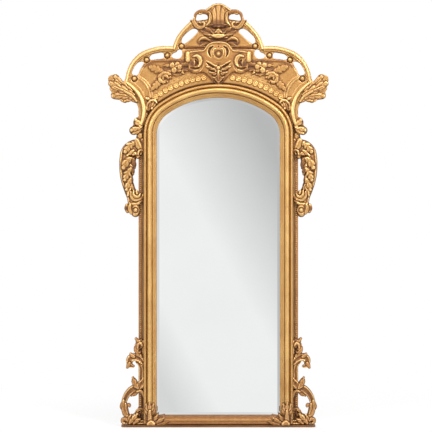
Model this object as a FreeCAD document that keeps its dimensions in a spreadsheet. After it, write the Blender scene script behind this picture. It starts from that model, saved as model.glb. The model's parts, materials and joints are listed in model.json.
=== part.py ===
# Giltwood pier mirror: an arched, bevelled glass in a moulded frame, with a pierced crest, carved side
# brackets, carved corners and a plinth. Lengths are millimetres. X runs to the viewer's right, Y from the
# viewer to the wall and Z up. The origin lies on the floor, under the middle of the glass's silvered face.
import FreeCAD
import Part

import math
import os

import Sketcher

SIZES = {
    # Sight opening with its three-centred arch
    "opening_half": 310,
    "opening_foot": 56,
    "spring_height": 1464,
    "arch_rise": 185,
    "haunch_radius": 125,
    # Planted mouldings and the boards behind them
    "moulding_width": 66,
    "moulding_depth": 46,
    "rebate_lip": 12,
    "margin": 24,
    "head_drop": 84,
    "bead_half": 8,
    "bead_depth": 8,
    "dowel_radius": 5,
    "dowel_length": 60,
    "fit_gap": 0.05,
    "overrun": 10,
    # Plinth
    "plinth_height": 10,
    "plinth_reach": 85,
    "plinth_round": 20,
    "plinth_screw_length": 34,
    "plinth_screw_radius": 2.5,
    "plinth_head_radius": 5,
    "plinth_head_thick": 3,
    # Glass and what holds it
    "glass_thick": 6,
    "glass_gap": 2,
    "bevel_width": 24,
    "bevel_depth": 2,
    "packing_thick": 8,
    "packing_width": 20,
    "backboard_thick": 10,
    "backboard_split": 770,
    "backboard_gap": 1,
    # Turn-buttons on the back
    "button_reach": 34,
    "button_half": 9,
    "button_thick": 4,
    "button_inset": 16,
    "button_rise": 0.3,
    "pivot_radius": 2.5,
    "running_gap": 0.08,
    "button_head_radius": 5,
    "button_head_thick": 2.5,
    "button_screw_depth": 16,
    # Hangers and wall pads on the back
    "hanger_drop": 90,
    "strap_half": 8,
    "strap_length": 62,
    "strap_thick": 2,
    "barrel_radius": 4.4,
    "ring_wire": 2,
    "ring_half": 14,
    "ring_arm": 8,
    "hanger_screw_radius": 2,
    "hanger_head_radius": 3.6,
    "hanger_head_thick": 2,
    "hanger_screw_depth": 15,
    "hanger_screw_first": 39,
    "hanger_screw_pitch": 14,
    "wall_pad_radius": 12,
    "wall_pad_thick": 10,
    "wall_pad_height": 70,
    # Crest board and its half-round rails
    "crest_height": 406,
    "crest_overhang": 42,
    "crest_thick": 14,
    "rail_half": 10,
    "side_scroll_radius": 126,
    "side_scroll_reach": 99,
    "ring_scroll_half": 7,
    "spacer_radius": 24,
    "spacer_inset": 30,
    "pearl_radius": 9,
    "batten_half": 40,
    "batten_thick": 20,
    # Band of coins above the arch
    "coin_radius": 12.5,
    "coin_thick": 5,
    "coin_gap": 4,
    "coin_lift": 35,
    "coin_start": 72,
    # Carved ornaments
    "cartouche_half": 145,
    "cartouche_depth": 20,
    "cartouche_gap": 2,
    "boss_radius": 42,
    "boss_depth": 14,
    "roll_radius": 11,
    "roll_length": 52,
    "roll_gap": 2,
    "spray_depth": 16,
    "spray_gap": 42,
    "plume_half": 66,
    "plume_depth": 22,
    "wing_leaf_width": 156,
    "wing_leaf_height": 150,
    "wing_leaf_depth": 26,
    "wing_leaf_lap": 3,
    "rail_leaf_width": 60,
    "rail_leaf_height": 103,
    "rail_leaf_depth": 22,
    "rail_leaf_lap": 14,
    "garland_width": 93,
    "garland_height": 388,
    "garland_drop": 27,
    "bracket_front": 40,
    "bracket_lap": 8,
    "corner_scroll_width": 92,
    "corner_scroll_height": 436,
    "corner_leaf_width": 70,
    "corner_leaf_height": 120,
    "corner_leaf_depth": 12,
    "corner_leaf_inset": 18,
    "corner_leaf_rise": 2,
}

COINS_PER_SIDE = 10
SIDES = {"left": -1, "right": 1}

# Shares of the moulding's width and depth, from the sight edge outward
MOULDING_SHARES = [
    (0.00, 0.00),
    (0.00, 0.17),
    (0.27, 0.52),
    (0.30, 0.47),
    (0.36, 0.61),
    (0.52, 1.00),
    (0.68, 0.61),
    (0.72, 0.52),
    (0.845, 0.78),
    (0.98, 0.52),
    (1.00, 0.46),
    (1.00, 0.00),
]
# Corners of the moulding that a rounded member runs up to, and that member's radius as a share of its chord
ROUND_MEMBERS = (2, 5, 6, 8, 9)
ROUNDNESS_SHARE = 0.72

# Places in the crest as shares of its half width and of its height above the crown of the arch. A negative
# height is a share of the shoulder, from the crown down to the springing of the arch.
CREST_PANEL_SHARES = [
    [(0.0, -0.896)],
    [(0.95, -0.896)],
    [(0.95, -0.738)],
    [(0.905, -0.618), (0.905, -0.501), (0.93, -0.37)],
    [(1.03, -0.259), (1.068, -0.06)],
    [(1.0, 0.01)],
    [(0.92, 0.096), (0.875, 0.20), (0.835, 0.256), (0.773, 0.302), (0.694, 0.311), (0.62, 0.308)],
    [(0.434, 0.311)],
    [(0.405, 0.367), (0.405, 0.416), (0.389, 0.465), (0.321, 0.558), (0.242, 0.626), (0.208, 0.669)],
    [(0.275, 0.70), (0.292, 0.761), (0.287, 0.835), (0.242, 0.903), (0.151, 0.921)],
    [(0.117, 0.958), (0.06, 1.0)],
    [(0.0, 1.0)],
]
HEAD_EDGE_SHARES = [(0.90, -0.259), (0.84, 0.15), (0.72, 0.28), (0.40, 0.29), (0.36, 0.45), (0.20, 0.56)]
RING_SCROLL_CENTRE_SHARE = (0.190, 0.823)
LOBE_HEIGHT_SHARE = -0.084
TOP_RAIL_HEIGHT_SHARE = 0.379
SIDE_SCROLL_HEIGHT_SHARE = -0.523
HEAD_SIDE_SHARE = -0.458
CREST_FOOT_SHARE = -0.896
BATTEN_TOP_SHARE = 0.86
SPRAY_FOOT_SHARE = -0.144
PLUME_FOOT_SHARE = 0.706
WING_LEAF_FOOT_SHARE = -0.395
RAIL_LEAF_FOOT_SHARE = -1.06
# Outermost points of the leaf sprays and of the rails' circles as shares of the crest's half width
SPRAY_REACH_SHARE = 0.774
LOBE_REACH_SHARE = 1.0565
TOP_RAIL_REACH_SHARE = 0.5066
# Radii of the rails and heights of the ornaments as shares of the crest's height
LOBE_RADIUS_SHARE = 0.468
TOP_RAIL_RADIUS_SHARE = 0.362
RING_SCROLL_RADIUS_SHARE = 0.0985
CARTOUCHE_HEIGHT_SHARE = 0.512
SPRAY_HEIGHT_SHARE = 0.37
PLUME_HEIGHT_SHARE = 0.29

# Bearings of the rails' ends and of the spacers, in degrees, from straight outward and turning upward
LOBE_BEARINGS = (9.0, 102.0)
LOBE_SPACER_BEARINGS = (19.0, 60.0, 97.0)
TOP_RAIL_SPACER_BEARING = 18.6
TOP_RAIL_BEARINGS = (6.0, 66.0)
SIDE_SCROLL_BEARINGS = (107.0, 222.0)
RING_SCROLL_BEARINGS = (-88.0, 100.0)
# Degrees that the board runs on past the end of a rail
STRIP_RUN = 7.0

# Slot inside the ring scroll as shares of that scroll's radius
RING_SLOT_SHARES = (0.70, 0.35)
# Boss and rolls of the cartouche as shares of its height
BOSS_SHARE = 0.71
ROLL_FOOT_SHARE = 0.54
# Pivots of the turn-buttons as shares of the stile's length
BUTTON_HEIGHT_SHARES = (0.15, 0.48, 0.78)
# Screws of the plinth as shares of the half width of the frame
PLINTH_SCREW_SHARES = (-0.9, -0.4, 0.4, 0.9)
# Dowels between stile and head as shares of the stile's width
DOWEL_SHARES = (0.3, 0.7)
# Middle of a bead strip as a share of the margin, from its outer edge
BEAD_SHARE = 0.4

# Ornament outlines as shares of a width, outward, and of a height, upward
CARTOUCHE_SHARES = [
    [(0.0, 0.0)],
    [(0.25, 0.08), (0.43, 0.27), (0.53, 0.42)],
    [(0.80, 0.37), (0.98, 0.47), (0.995, 0.635), (0.87, 0.78)],
    [(0.495, 0.79)],
    [(0.357, 0.92), (0.0, 1.0)],
]
PLUME_SHARES = [
    [(0.0, 0.0)],
    [(0.48, 0.06)],
    [(0.63, 0.36), (0.86, 0.487), (1.0, 0.65), (0.78, 0.78)],
    [(0.40, 0.98), (0.0, 1.0)],
]
SPRAY_SHARES = [
    [(0.0, 0.80)],
    [(0.095, 0.533), (0.29, 0.30), (0.58, 0.20), (0.773, 0.0), (1.0, 0.10)],
    [(0.934, 0.367), (0.837, 0.633)],
    [(0.966, 0.867), (0.80, 1.0), (0.42, 0.93)],
    [(0.19, 1.0), (0.0, 0.80)],
]
WING_LEAF_SHARES = [
    [(0.383, 0.687)],
    [(0.239, 0.553), (0.095, 0.32), (0.0, 0.037)],
    [(0.127, 0.053), (0.255, 0.13)],
    [(0.479, 0.007), (0.64, 0.11)],
    [(0.832, 0.137), (0.912, 0.22), (0.889, 0.32)],
    [(0.953, 0.487), (0.918, 0.603)],
    [(0.998, 0.787), (0.864, 0.937)],
    [(0.752, 1.0), (0.639, 0.92), (0.607, 0.787)],
    [(0.527, 0.737), (0.383, 0.687)],
]
RAIL_LEAF_SHARES = [
    [(0.18, 1.0)],
    [(0.01, 0.485), (0.14, 0.194), (0.51, 0.0), (0.846, 0.12), (0.987, 0.34), (0.654, 0.558)],
    [(0.654, 0.777), (0.47, 0.95), (0.18, 1.0)],
]
GARLAND_SHARES = [
    [(0.0, 1.0)],
    [(0.0, 0.734)],
    [(0.126, 0.728)],
    [(0.126, 0.67), (0.18, 0.58), (0.325, 0.541), (0.315, 0.477), (0.207, 0.387), (0.126, 0.348)],
    [(0.0, 0.348)],
    [(0.0, 0.064)],
    [(0.046, 0.032), (0.26, 0.0), (0.433, 0.039)],
    [(0.664, 0.071), (0.734, 0.142), (0.594, 0.174)],
    [(0.583, 0.219), (0.718, 0.322), (0.879, 0.425), (0.97, 0.541), (0.997, 0.696), (0.96, 0.80),
     (0.852, 0.876), (0.664, 0.94), (0.395, 0.986), (0.154, 1.0)],
    [(0.0, 1.0)],
]
CORNER_SCROLL_SHARES = [
    [(0.0, 1.0)],
    [(0.0, 0.365)],
    [(0.236, 0.342), (0.48, 0.319), (0.617, 0.256)],
    [(0.476, 0.216), (0.563, 0.141)],
    [(0.454, 0.118), (0.236, 0.155), (0.0, 0.17)],
    [(0.0, 0.0)],
    [(0.834, 0.0)],
    [(0.90, 0.02), (0.943, 0.055), (0.698, 0.081)],
    [(0.807, 0.112), (0.97, 0.181), (0.997, 0.244)],
    [(0.872, 0.284), (0.78, 0.342), (0.617, 0.405), (0.372, 0.462)],
    [(0.41, 0.516), (0.291, 0.554)],
    [(0.128, 0.514), (0.035, 0.502)],
    [(0.035, 0.651)],
    [(0.084, 0.709), (0.236, 0.732), (0.345, 0.703), (0.236, 0.68), (0.264, 0.657)],
    [(0.617, 0.651), (0.709, 0.709), (0.671, 0.76), (0.427, 0.823), (0.22, 0.835)],
    [(0.274, 0.881), (0.193, 0.938)],
    [(0.198, 0.998)],
    [(0.0, 1.0)],
]
CORNER_LEAF_SHARES = [
    [(0.02, 0.0)],
    [(0.98, 0.0)],
    [(1.0, 0.52), (0.91, 0.85), (0.73, 0.975), (0.52, 0.85)],
    [(0.375, 0.56), (0.05, 0.33)],
    [(0.02, 0.0)],
]


class Size:
    """A number worked out from the sheet, with the expression that binds a property to it."""

    def __init__(self, value, text):
        self.value = value
        self.text = text

    def __add__(self, other):
        return Size(self.value + number(other), f"({self.text} + {words(other)})")

    def __radd__(self, other):
        return Size(other + self.value, f"({other!r} + {self.text})")

    def __sub__(self, other):
        return Size(self.value - number(other), f"({self.text} - {words(other)})")

    def __rsub__(self, other):
        return Size(other - self.value, f"({other!r} - {self.text})")

    def __mul__(self, other):
        return Size(self.value * number(other), f"({self.text} * {words(other)})")

    def __rmul__(self, other):
        return Size(other * self.value, f"({other!r} * {self.text})")

    def __truediv__(self, other):
        return Size(self.value / number(other), f"({self.text} / {words(other)})")

    def __neg__(self):
        return -1 * self


def number(item):
    return item.value if isinstance(item, Size) else item


def words(item):
    return item.text if isinstance(item, Size) else repr(item)


def root(size):
    return Size(math.sqrt(size.value), f"sqrt({size.text})")


def arc_sine(size):
    """The angle of a sine, in degrees."""
    return Size(math.degrees(math.asin(size.value)), f"(asin({size.text}) / 1 deg)")


def sine(size):
    """The sine of an angle in degrees."""
    return Size(math.sin(math.radians(size.value)), f"sin({size.text} * 1 deg)")


def cosine(size):
    """The cosine of an angle in degrees."""
    return Size(math.cos(math.radians(size.value)), f"cos({size.text} * 1 deg)")


def write_sheet():
    sheet = doc.addObject("Spreadsheet::Sheet", "sizes")
    for row, (alias, value) in enumerate(SIZES.items(), 1):
        sheet.set(f"A{row}", alias)
        sheet.set(f"B{row}", str(value))
        sheet.setAlias(f"B{row}", alias)
    doc.recompute()
    return sheet


def size(alias):
    return Size(float(sheet.get(alias)), f"sizes.{alias}")


doc = FreeCAD.newDocument("giltwood_mirror")
sheet = write_sheet()
parts = []

# Sizes that several pieces share
opening_half = size("opening_half")
opening_foot = size("opening_foot")
spring_height = size("spring_height")
haunch_radius = size("haunch_radius")
arch_rise = size("arch_rise")
moulding_width = size("moulding_width")
rebate_lip = size("rebate_lip")
plinth_height = size("plinth_height")
fit_gap = size("fit_gap")
overrun = size("overrun")
crest_height = size("crest_height")
rail_half = size("rail_half")

crown_radius = (
    opening_half * opening_half + arch_rise * arch_rise - 2 * opening_half * haunch_radius
) / (2 * (arch_rise - haunch_radius))
haunch_x = opening_half - haunch_radius
crown_centre = spring_height + arch_rise - crown_radius
lean_sine = haunch_x / (crown_radius - haunch_radius)
lean_cosine = (crown_radius - arch_rise) / (crown_radius - haunch_radius)
lean = arc_sine(lean_sine)

board_front = -size("glass_thick")
board_back = size("packing_thick") + size("backboard_thick")
board_inner = opening_half + rebate_lip
moulding_outer = opening_half + moulding_width
half_out = moulding_outer + size("margin")
moulding_front = board_front - size("moulding_depth")
head_foot = spring_height - size("head_drop")
glass_offset = rebate_lip - size("glass_gap")
glass_foot = opening_foot - glass_offset
glass_half = opening_half + glass_offset

shoulder = arch_rise + moulding_width
crown_top = spring_height + shoulder
crest_half = half_out + size("crest_overhang")
crest_front = board_front - size("crest_thick")
lobe_radius = LOBE_RADIUS_SHARE * crest_height
top_rail_radius = TOP_RAIL_RADIUS_SHARE * crest_height
ring_scroll_radius = RING_SCROLL_RADIUS_SHARE * crest_height

stile_middle = (board_inner + half_out) / 2
dowel_level = (board_front + board_back) / 2
button_pivot = board_inner + size("button_inset")


def crest_level(share):
    """A height in the crest."""
    return crown_top + share * (crest_height if share > 0 else shoulder)


def crest_point(shares):
    return crest_half * shares[0], crest_level(shares[1])


def bind(item, **sizes):
    for name, amount in sizes.items():
        item.setExpression(name, words(amount))


def add(kind, name, **sizes):
    item = doc.addObject(kind, name)
    bind(item, **sizes)
    return item


def move(item, x, y, z):
    for axis, amount in zip("xyz", (x, y, z)):
        item.setExpression(f"Placement.Base.{axis}", words(amount))


def keep(label, item):
    """Take a finished piece into the assembly under its own label."""
    item.Label = label
    parts.append(item)
    return item


def box(name, x, y, z):
    """A block between two values along each axis."""
    item = add("Part::Box", name, Length=x[1] - x[0], Width=y[1] - y[0], Height=z[1] - z[0])
    move(item, x[0], y[0], z[0])
    return item


def rod(name, radius, length, start, direction):
    """A cylinder from a start point along a direction."""
    item = add("Part::Cylinder", name, Radius=radius, Height=length)
    turn = FreeCAD.Rotation(FreeCAD.Vector(0, 0, 1), FreeCAD.Vector(*direction))
    item.Placement = FreeCAD.Placement(FreeCAD.Vector(), turn)
    move(item, *start)
    return item


def group(name, items):
    item = doc.addObject("Part::Compound", name)
    item.Links = items
    return item


def fuse(name, items):
    item = doc.addObject("Part::MultiFuse", name)
    item.Shapes = items
    return item


def cut(name, base, tools):
    item = doc.addObject("Part::Cut", name)
    item.Base = base
    item.Tool = tools[0] if len(tools) == 1 else group(name + "_tools", tools)
    return item


def new_body(name, role):
    """A body with one sketch on an origin plane of its own."""
    body = doc.addObject("PartDesign::Body", name)
    return body, new_sketch(body, role, name + "_outline")


def new_sketch(body, role, name):
    sketch = body.newObject("Sketcher::SketchObject", name)
    plane = next(item for item in body.Origin.OriginFeatures if item.Role == role)
    sketch.AttachmentSupport = [(plane, "")]
    sketch.MapMode = "FlatFace"
    return sketch


def hold(sketch, kind, place, amount):
    """Add a dimension to a sketch and bind it."""
    index = sketch.addConstraint(Sketcher.Constraint(kind, *place, number(amount)))
    sketch.renameConstraint(index, f"{kind}_{index}")
    sketch.setExpression(f"Constraints.{kind}_{index}", words(amount))


def hold_point(sketch, geometry, end, x, y):
    """Bind a point's place, or set it on the sketch's own axis where that place is a plain zero."""
    for kind, amount, axis in (("DistanceX", x, -2), ("DistanceY", y, -1)):
        if isinstance(amount, Size):
            hold(sketch, kind, (geometry, end), amount)
        else:
            sketch.addConstraint(Sketcher.Constraint("PointOnObject", geometry, end, axis))


def draw(sketch, corners):
    """Draw a closed outline. A corner is (x, y), or (x, y, radius) where an arc leads to it: the arc bulges to
    the right of its run, or to the left where the radius is negative."""
    first = sketch.GeometryCount
    ends = []
    for index, corner in enumerate(corners):
        start = FreeCAD.Vector(number(corners[index - 1][0]), number(corners[index - 1][1]), 0)
        finish = FreeCAD.Vector(number(corner[0]), number(corner[1]), 0)
        if len(corner) == 2:
            sketch.addGeometry(Part.LineSegment(start, finish), False)
            ends.append((1, 2))
            continue
        radius = number(corner[2])
        run = finish - start
        right = FreeCAD.Vector(run.y, -run.x, 0).normalize()
        lift = math.sqrt(max(radius * radius - run.Length * run.Length / 4, 0))
        centre = (start + finish) / 2 - right * math.copysign(lift, radius)
        begin, end = (start - centre, finish - centre) if radius > 0 else (finish - centre, start - centre)
        circle = Part.Circle(centre, FreeCAD.Vector(0, 0, 1), abs(radius))
        first_angle = math.atan2(begin.y, begin.x)
        last_angle = math.atan2(end.y, end.x)
        sketch.addGeometry(Part.ArcOfCircle(circle, first_angle, last_angle), False)
        ends.append((1, 2) if radius > 0 else (2, 1))
    for index in range(len(corners)):
        following = (index + 1) % len(corners)
        joint = (first + index, ends[index][1], first + following, ends[following][0])
        sketch.addConstraint(Sketcher.Constraint("Coincident", *joint))
    for index, corner in enumerate(corners):
        hold_point(sketch, first + index, ends[index][1], corner[0], corner[1])
        if len(corner) == 3:
            hold(sketch, "Radius", (first + index,), corner[2] if number(corner[2]) > 0 else -corner[2])


def draw_hole(sketch, x, y, radius):
    centre = FreeCAD.Vector(number(x), number(y), 0)
    index = sketch.addGeometry(Part.Circle(centre, FreeCAD.Vector(0, 0, 1), number(radius)), False)
    hold_point(sketch, index, 3, x, y)
    hold(sketch, "Radius", (index,), radius)


def pad(body, sketch, length, midplane=False):
    feature = body.newObject("PartDesign::Pad", body.Name + "_pad")
    feature.Profile = sketch
    feature.Midplane = midplane
    bind(feature, Length=length)
    return feature


def plate(name, corners, back, thick):
    """A flat piece with an outline in the XZ plane, from its back face towards the viewer."""
    body, sketch = new_body(name, "XZ_Plane")
    draw(sketch, corners)
    pad(body, sketch, thick)
    bind(body, **{"Placement.Base.y": back})
    return body


def ring_piece(name, profile, centre, back, sweep, bearing):
    """A profile swept round an axis parallel to Y, with its middle at a bearing from +X towards +Z."""
    body, sketch = new_body(name, "XY_Plane")
    draw(sketch, profile)
    feature = body.newObject("PartDesign::Revolution", name + "_sweep")
    feature.Profile = sketch
    feature.ReferenceAxis = (sketch, ["V_Axis"])
    feature.Midplane = True
    bind(feature, Angle=sweep)
    body.Placement = FreeCAD.Placement(
        FreeCAD.Vector(), FreeCAD.Rotation(FreeCAD.Vector(0, -1, 0), number(bearing))
    )
    body.setExpression("Placement.Rotation.Angle", words(bearing))
    move(body, centre[0], back, centre[1])
    return body


# The frame behind the gilding


def arch_corners(offset, foot):
    """The sight outline grown by an offset, on a level foot."""
    half = opening_half + offset
    reach = haunch_radius + offset
    join_x = haunch_x + reach * lean_sine
    join_z = spring_height + reach * lean_cosine
    return [
        (-half, foot),
        (half, foot),
        (half, spring_height),
        (join_x, join_z, reach),
        (-join_x, join_z, crown_radius + offset),
        (-half, spring_height, reach),
    ]


def stile_dowels(name, side, radius, length):
    """Upright dowels that join a stile to the head board."""
    dowels = []
    for index, share in enumerate(DOWEL_SHARES):
        x = side * (board_inner + share * (half_out - board_inner))
        start = (x, dowel_level, head_foot - length / 2)
        dowels.append(rod(f"{name}_{index}", radius, length, start, (0, 0, 1)))
    return dowels


def rail_dowel(name, side, radius, length):
    """A level dowel that joins the foot rail to a stile."""
    height = (plinth_height + opening_foot - rebate_lip) / 2
    start = (side * (board_inner - length / 2), dowel_level, height)
    return rod(name, radius, length, start, (side, 0, 0))


def frame_dowels():
    radius = size("dowel_radius")
    length = size("dowel_length")
    dowels = []
    for name, side in SIDES.items():
        dowels += stile_dowels(f"head_dowel_{name}", side, radius, length)
        dowels.append(rail_dowel(f"rail_dowel_{name}", side, radius, length))
    keep("frame_dowels", group("frame_dowels", dowels))


def dowel_hole():
    return size("dowel_radius") + fit_gap, size("dowel_length") + 2 * fit_gap


def stile(name, side):
    label = f"backing_stile_{name}"
    inner, outer = (board_inner, half_out) if side > 0 else (-half_out, -board_inner)
    blank = box(label + "_blank", (inner, outer), (board_front, board_back), (plinth_height, head_foot))
    holes = stile_dowels(label + "_dowel_hole", side, *dowel_hole())
    holes.append(rail_dowel(label + "_rail_hole", side, *dowel_hole()))
    depth = size("button_screw_depth") + fit_gap
    for index, height in enumerate(button_heights()):
        start = (side * button_pivot, board_back - depth, height)
        holes.append(rod(f"{label}_button_hole_{index}", screw_hole(), depth + overrun, start, (0, 1, 0)))
    depth = size("hanger_screw_depth") + fit_gap
    for index, height in enumerate(hanger_screw_heights()):
        start = (side * stile_middle, board_back - depth, height)
        radius = size("hanger_screw_radius") + fit_gap
        holes.append(rod(f"{label}_hanger_hole_{index}", radius, depth + overrun, start, (0, 1, 0)))
    holes.append(plinth_screw_hole(label + "_foot_hole", side * PLINTH_SCREW_SHARES[-1]))
    keep(label, cut(label, blank, holes))


def foot_rail():
    label = "backing_foot_rail"
    span = (-board_inner, board_inner)
    blank = box(label + "_blank", span, (board_front, board_back), (plinth_height, opening_foot - rebate_lip))
    holes = [rail_dowel(f"{label}_hole_{name}", side, *dowel_hole()) for name, side in SIDES.items()]
    for index, share in enumerate(PLINTH_SCREW_SHARES[1:3]):
        holes.append(plinth_screw_hole(f"{label}_foot_hole_{index}", share))
    keep(label, cut(label, blank, holes))


def head_board():
    """The arched board that joins the stiles and carries the crest."""
    label = "head_board"
    arch = arch_corners(rebate_lip, head_foot)
    edge = [(half_out, head_foot), (half_out, crest_level(HEAD_SIDE_SHARE))]
    edge += [crest_point(shares) for shares in HEAD_EDGE_SHARES]
    corners = edge + [(-x, z) for x, z in reversed(edge)]
    corners.append(arch[0])
    corners.append(arch[5][:2])
    corners.append((*arch[4][:2], -arch[5][2]))
    corners.append((*arch[3][:2], -arch[4][2]))
    corners.append((*arch[2][:2], -arch[3][2]))
    corners.append(arch[1])
    blank = plate(label + "_blank", corners, board_back, board_back - board_front)
    holes = []
    for name, side in SIDES.items():
        holes += stile_dowels(f"{label}_hole_{name}", side, *dowel_hole())
    keep(label, cut(label, blank, holes))


def crest_batten():
    """An upright batten that stiffens the back of the crest above the head board."""
    half = size("batten_half")
    foot = crest_point(HEAD_EDGE_SHARES[-1])[1]
    top = crest_level(BATTEN_TOP_SHARE)
    level = (board_front, board_front + size("batten_thick"))
    keep("crest_batten", box("crest_batten", (-half, half), level, (foot, top)))


# Plinth


def plinth_screw_hole(name, share):
    length = size("plinth_screw_length") + fit_gap
    radius = size("plinth_screw_radius") + fit_gap
    return rod(name, radius, length, (share * half_out, dowel_level, 0), (0, 0, 1))


def plinth():
    label = "plinth"
    half = half_out + size("plinth_reach")
    corner = size("plinth_round")
    body, sketch = new_body(label + "_blank", "XY_Plane")
    draw(sketch, [
        (half - corner, moulding_front),
        (half, moulding_front + corner, corner),
        (half, board_back),
        (-half, board_back),
        (-half, moulding_front + corner),
        (-half + corner, moulding_front, corner),
    ])
    pad(body, sketch, plinth_height)
    holes = []
    for index, share in enumerate(PLINTH_SCREW_SHARES):
        holes.append(plinth_screw_hole(f"{label}_hole_{index}", share))
        radius = size("plinth_head_radius") + fit_gap
        depth = size("plinth_head_thick") + fit_gap
        start = (share * half_out, dowel_level, 0)
        holes.append(rod(f"{label}_sink_{index}", radius, depth, start, (0, 0, 1)))
    keep(label, cut(label, body, holes))


def plinth_screws():
    screws = []
    for index, share in enumerate(PLINTH_SCREW_SHARES):
        name = f"plinth_screw_{index}"
        start = (share * half_out, dowel_level, 0)
        shank = rod(name + "_shank", size("plinth_screw_radius"), size("plinth_screw_length"), start, (0, 0, 1))
        head = rod(name + "_head", size("plinth_head_radius"), size("plinth_head_thick"), start, (0, 0, 1))
        screws.append(fuse(name, [shank, head]))
    keep("plinth_screws", group("plinth_screws", screws))


# Planted mouldings


def distance(first, second):
    across = second[0] - first[0]
    along = second[1] - first[1]
    return root(across * across + along * along)


def moulding_corners(place, turn=1):
    """The moulding's section, where place gives the position of a share across and a share of the depth."""
    corners = []
    for index, shares in enumerate(MOULDING_SHARES):
        corner = place(*shares)
        if index in ROUND_MEMBERS:
            corner = (*corner, turn * ROUNDNESS_SHARE * distance(corners[-1], corner))
        corners.append(corner)
    return corners


def moulding_level(depth_share):
    return board_front - size("moulding_depth") * depth_share


def mitre(body, outlines):
    """Cut outlines in the XZ plane right through a moulding."""
    sketch = new_sketch(body, "XZ_Plane", body.Name + "_mitre")
    for corners in outlines:
        draw(sketch, corners)
    feature = body.newObject("PartDesign::Pocket", body.Name + "_mitre_cut")
    feature.Profile = sketch
    feature.Type = "ThroughAll"
    feature.Midplane = True


def mitre_line(side):
    """Ends of the mitre of a lower corner, run past both edges, with heights from the plinth."""
    foot_height = opening_foot - plinth_height
    slope = foot_height / moulding_width
    upper = (side * (opening_half - overrun), foot_height + overrun * slope)
    lower = (side * (moulding_outer + overrun), -overrun * slope)
    return upper, lower


def side_moulding(name, side):
    label = f"moulding_{name}"
    body, sketch = new_body(label, "XY_Plane")
    draw(sketch, moulding_corners(
        lambda across, depth: (side * (opening_half + moulding_width * across), moulding_level(depth)), side
    ))
    pad(body, sketch, spring_height - plinth_height)
    bind(body, **{"Placement.Base.z": plinth_height})
    upper, lower = mitre_line(side)
    mitre(body, [[upper, (upper[0], lower[1]), lower]])
    keep(label, body)


def foot_moulding():
    label = "moulding_foot"
    foot_height = opening_foot - plinth_height
    body, sketch = new_body(label, "YZ_Plane")
    draw(sketch, moulding_corners(
        lambda across, depth: (moulding_level(depth), foot_height - foot_height * across)
    ))
    pad(body, sketch, 2 * moulding_outer, midplane=True)
    bind(body, **{"Placement.Base.z": plinth_height})
    ends = []
    for side in SIDES.values():
        upper, lower = mitre_line(side)
        ends.append([upper, lower, (lower[0], upper[1])])
    mitre(body, ends)
    keep(label, body)


def arch_moulding(label, radius, centre, sweep, bearing):
    corners = moulding_corners(
        lambda across, depth: (radius + moulding_width * across, moulding_level(depth))
    )
    keep(label, ring_piece(label, corners, centre, 0, sweep, bearing))


def arch_mouldings():
    sweep = 90 - lean
    arch_moulding("arch_haunch_right", haunch_radius, (haunch_x, spring_height), sweep, sweep / 2)
    arch_moulding("arch_haunch_left", haunch_radius, (-haunch_x, spring_height), sweep, 180 - sweep / 2)
    arch_moulding("arch_crown", crown_radius, (0, crown_centre), 2 * lean, 90)


def half_round(middle, half, depth, level):
    """Corners of a half-round strip that stands forward of a level."""
    foot = (middle - half, level)
    top = (middle, level - depth)
    end = (middle + half, level)
    return [
        foot,
        (*top, ROUNDNESS_SHARE * distance(foot, top)),
        (*end, ROUNDNESS_SHARE * distance(top, end)),
    ]


def bead_strip(name, side):
    """The strip of beads on the outer margin of a stile."""
    label = f"bead_strip_{name}"
    body, sketch = new_body(label, "XY_Plane")
    middle = side * (half_out - BEAD_SHARE * size("margin"))
    draw(sketch, half_round(middle, size("bead_half"), size("bead_depth"), board_front))
    pad(body, sketch, crest_level(CREST_FOOT_SHARE) - plinth_height)
    bind(body, **{"Placement.Base.z": plinth_height})
    keep(label, body)


# Glass, packing and backboards


def mirror_glass():
    label = "mirror_glass"
    body = plate(label, arch_corners(glass_offset, glass_foot), 0, size("glass_thick"))
    doc.recompute()
    pane = body.Tip
    front = min(range(len(pane.Shape.Faces)), key=lambda index: pane.Shape.Faces[index].CenterOfMass.y)
    bevel = body.newObject("PartDesign::Chamfer", label + "_bevel")
    bevel.Base = (pane, [f"Face{front + 1}"])
    bevel.ChamferType = "Two distances"
    bind(bevel, Size=size("bevel_depth"), Size2=size("bevel_width"))
    keep(label, body)


def packing_strips():
    """Strips that hold the glass off the backboards, along its foot and sides and round its arch."""
    level = (0, size("packing_thick"))
    inner = glass_half - size("packing_width")
    for name, side in SIDES.items():
        span = (inner, glass_half) if side > 0 else (-glass_half, -inner)
        keep(f"packing_{name}", box(f"packing_{name}", span, level, (glass_foot, spring_height)))
    height = (glass_foot, glass_foot + size("packing_width"))
    keep("packing_foot", box("packing_foot", (-inner, inner), level, height))
    outside = arch_corners(glass_offset, spring_height)[2:]
    inside = arch_corners(glass_offset - size("packing_width"), spring_height)[2:]
    corners = outside + [
        inside[3][:2],
        (*inside[2][:2], -inside[3][2]),
        (*inside[1][:2], -inside[2][2]),
        (*inside[0][:2], -inside[1][2]),
    ]
    keep("packing_arch", plate("packing_arch", corners, level[1], level[1]))


def backboards():
    level = (size("packing_thick"), board_back)
    split = size("backboard_split")
    keep("backboard_lower", box("backboard_lower", (-glass_half, glass_half), level, (glass_foot, split)))
    corners = arch_corners(glass_offset, split + size("backboard_gap"))
    keep("backboard_upper", plate("backboard_upper", corners, board_back, size("backboard_thick")))


# Turn-buttons, hangers and wall pads on the back


def button_heights():
    return [plinth_height + share * (head_foot - plinth_height) for share in BUTTON_HEIGHT_SHARES]


def pivot_shank():
    return size("pivot_radius") - size("running_gap")


def screw_hole():
    return pivot_shank() + fit_gap


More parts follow.
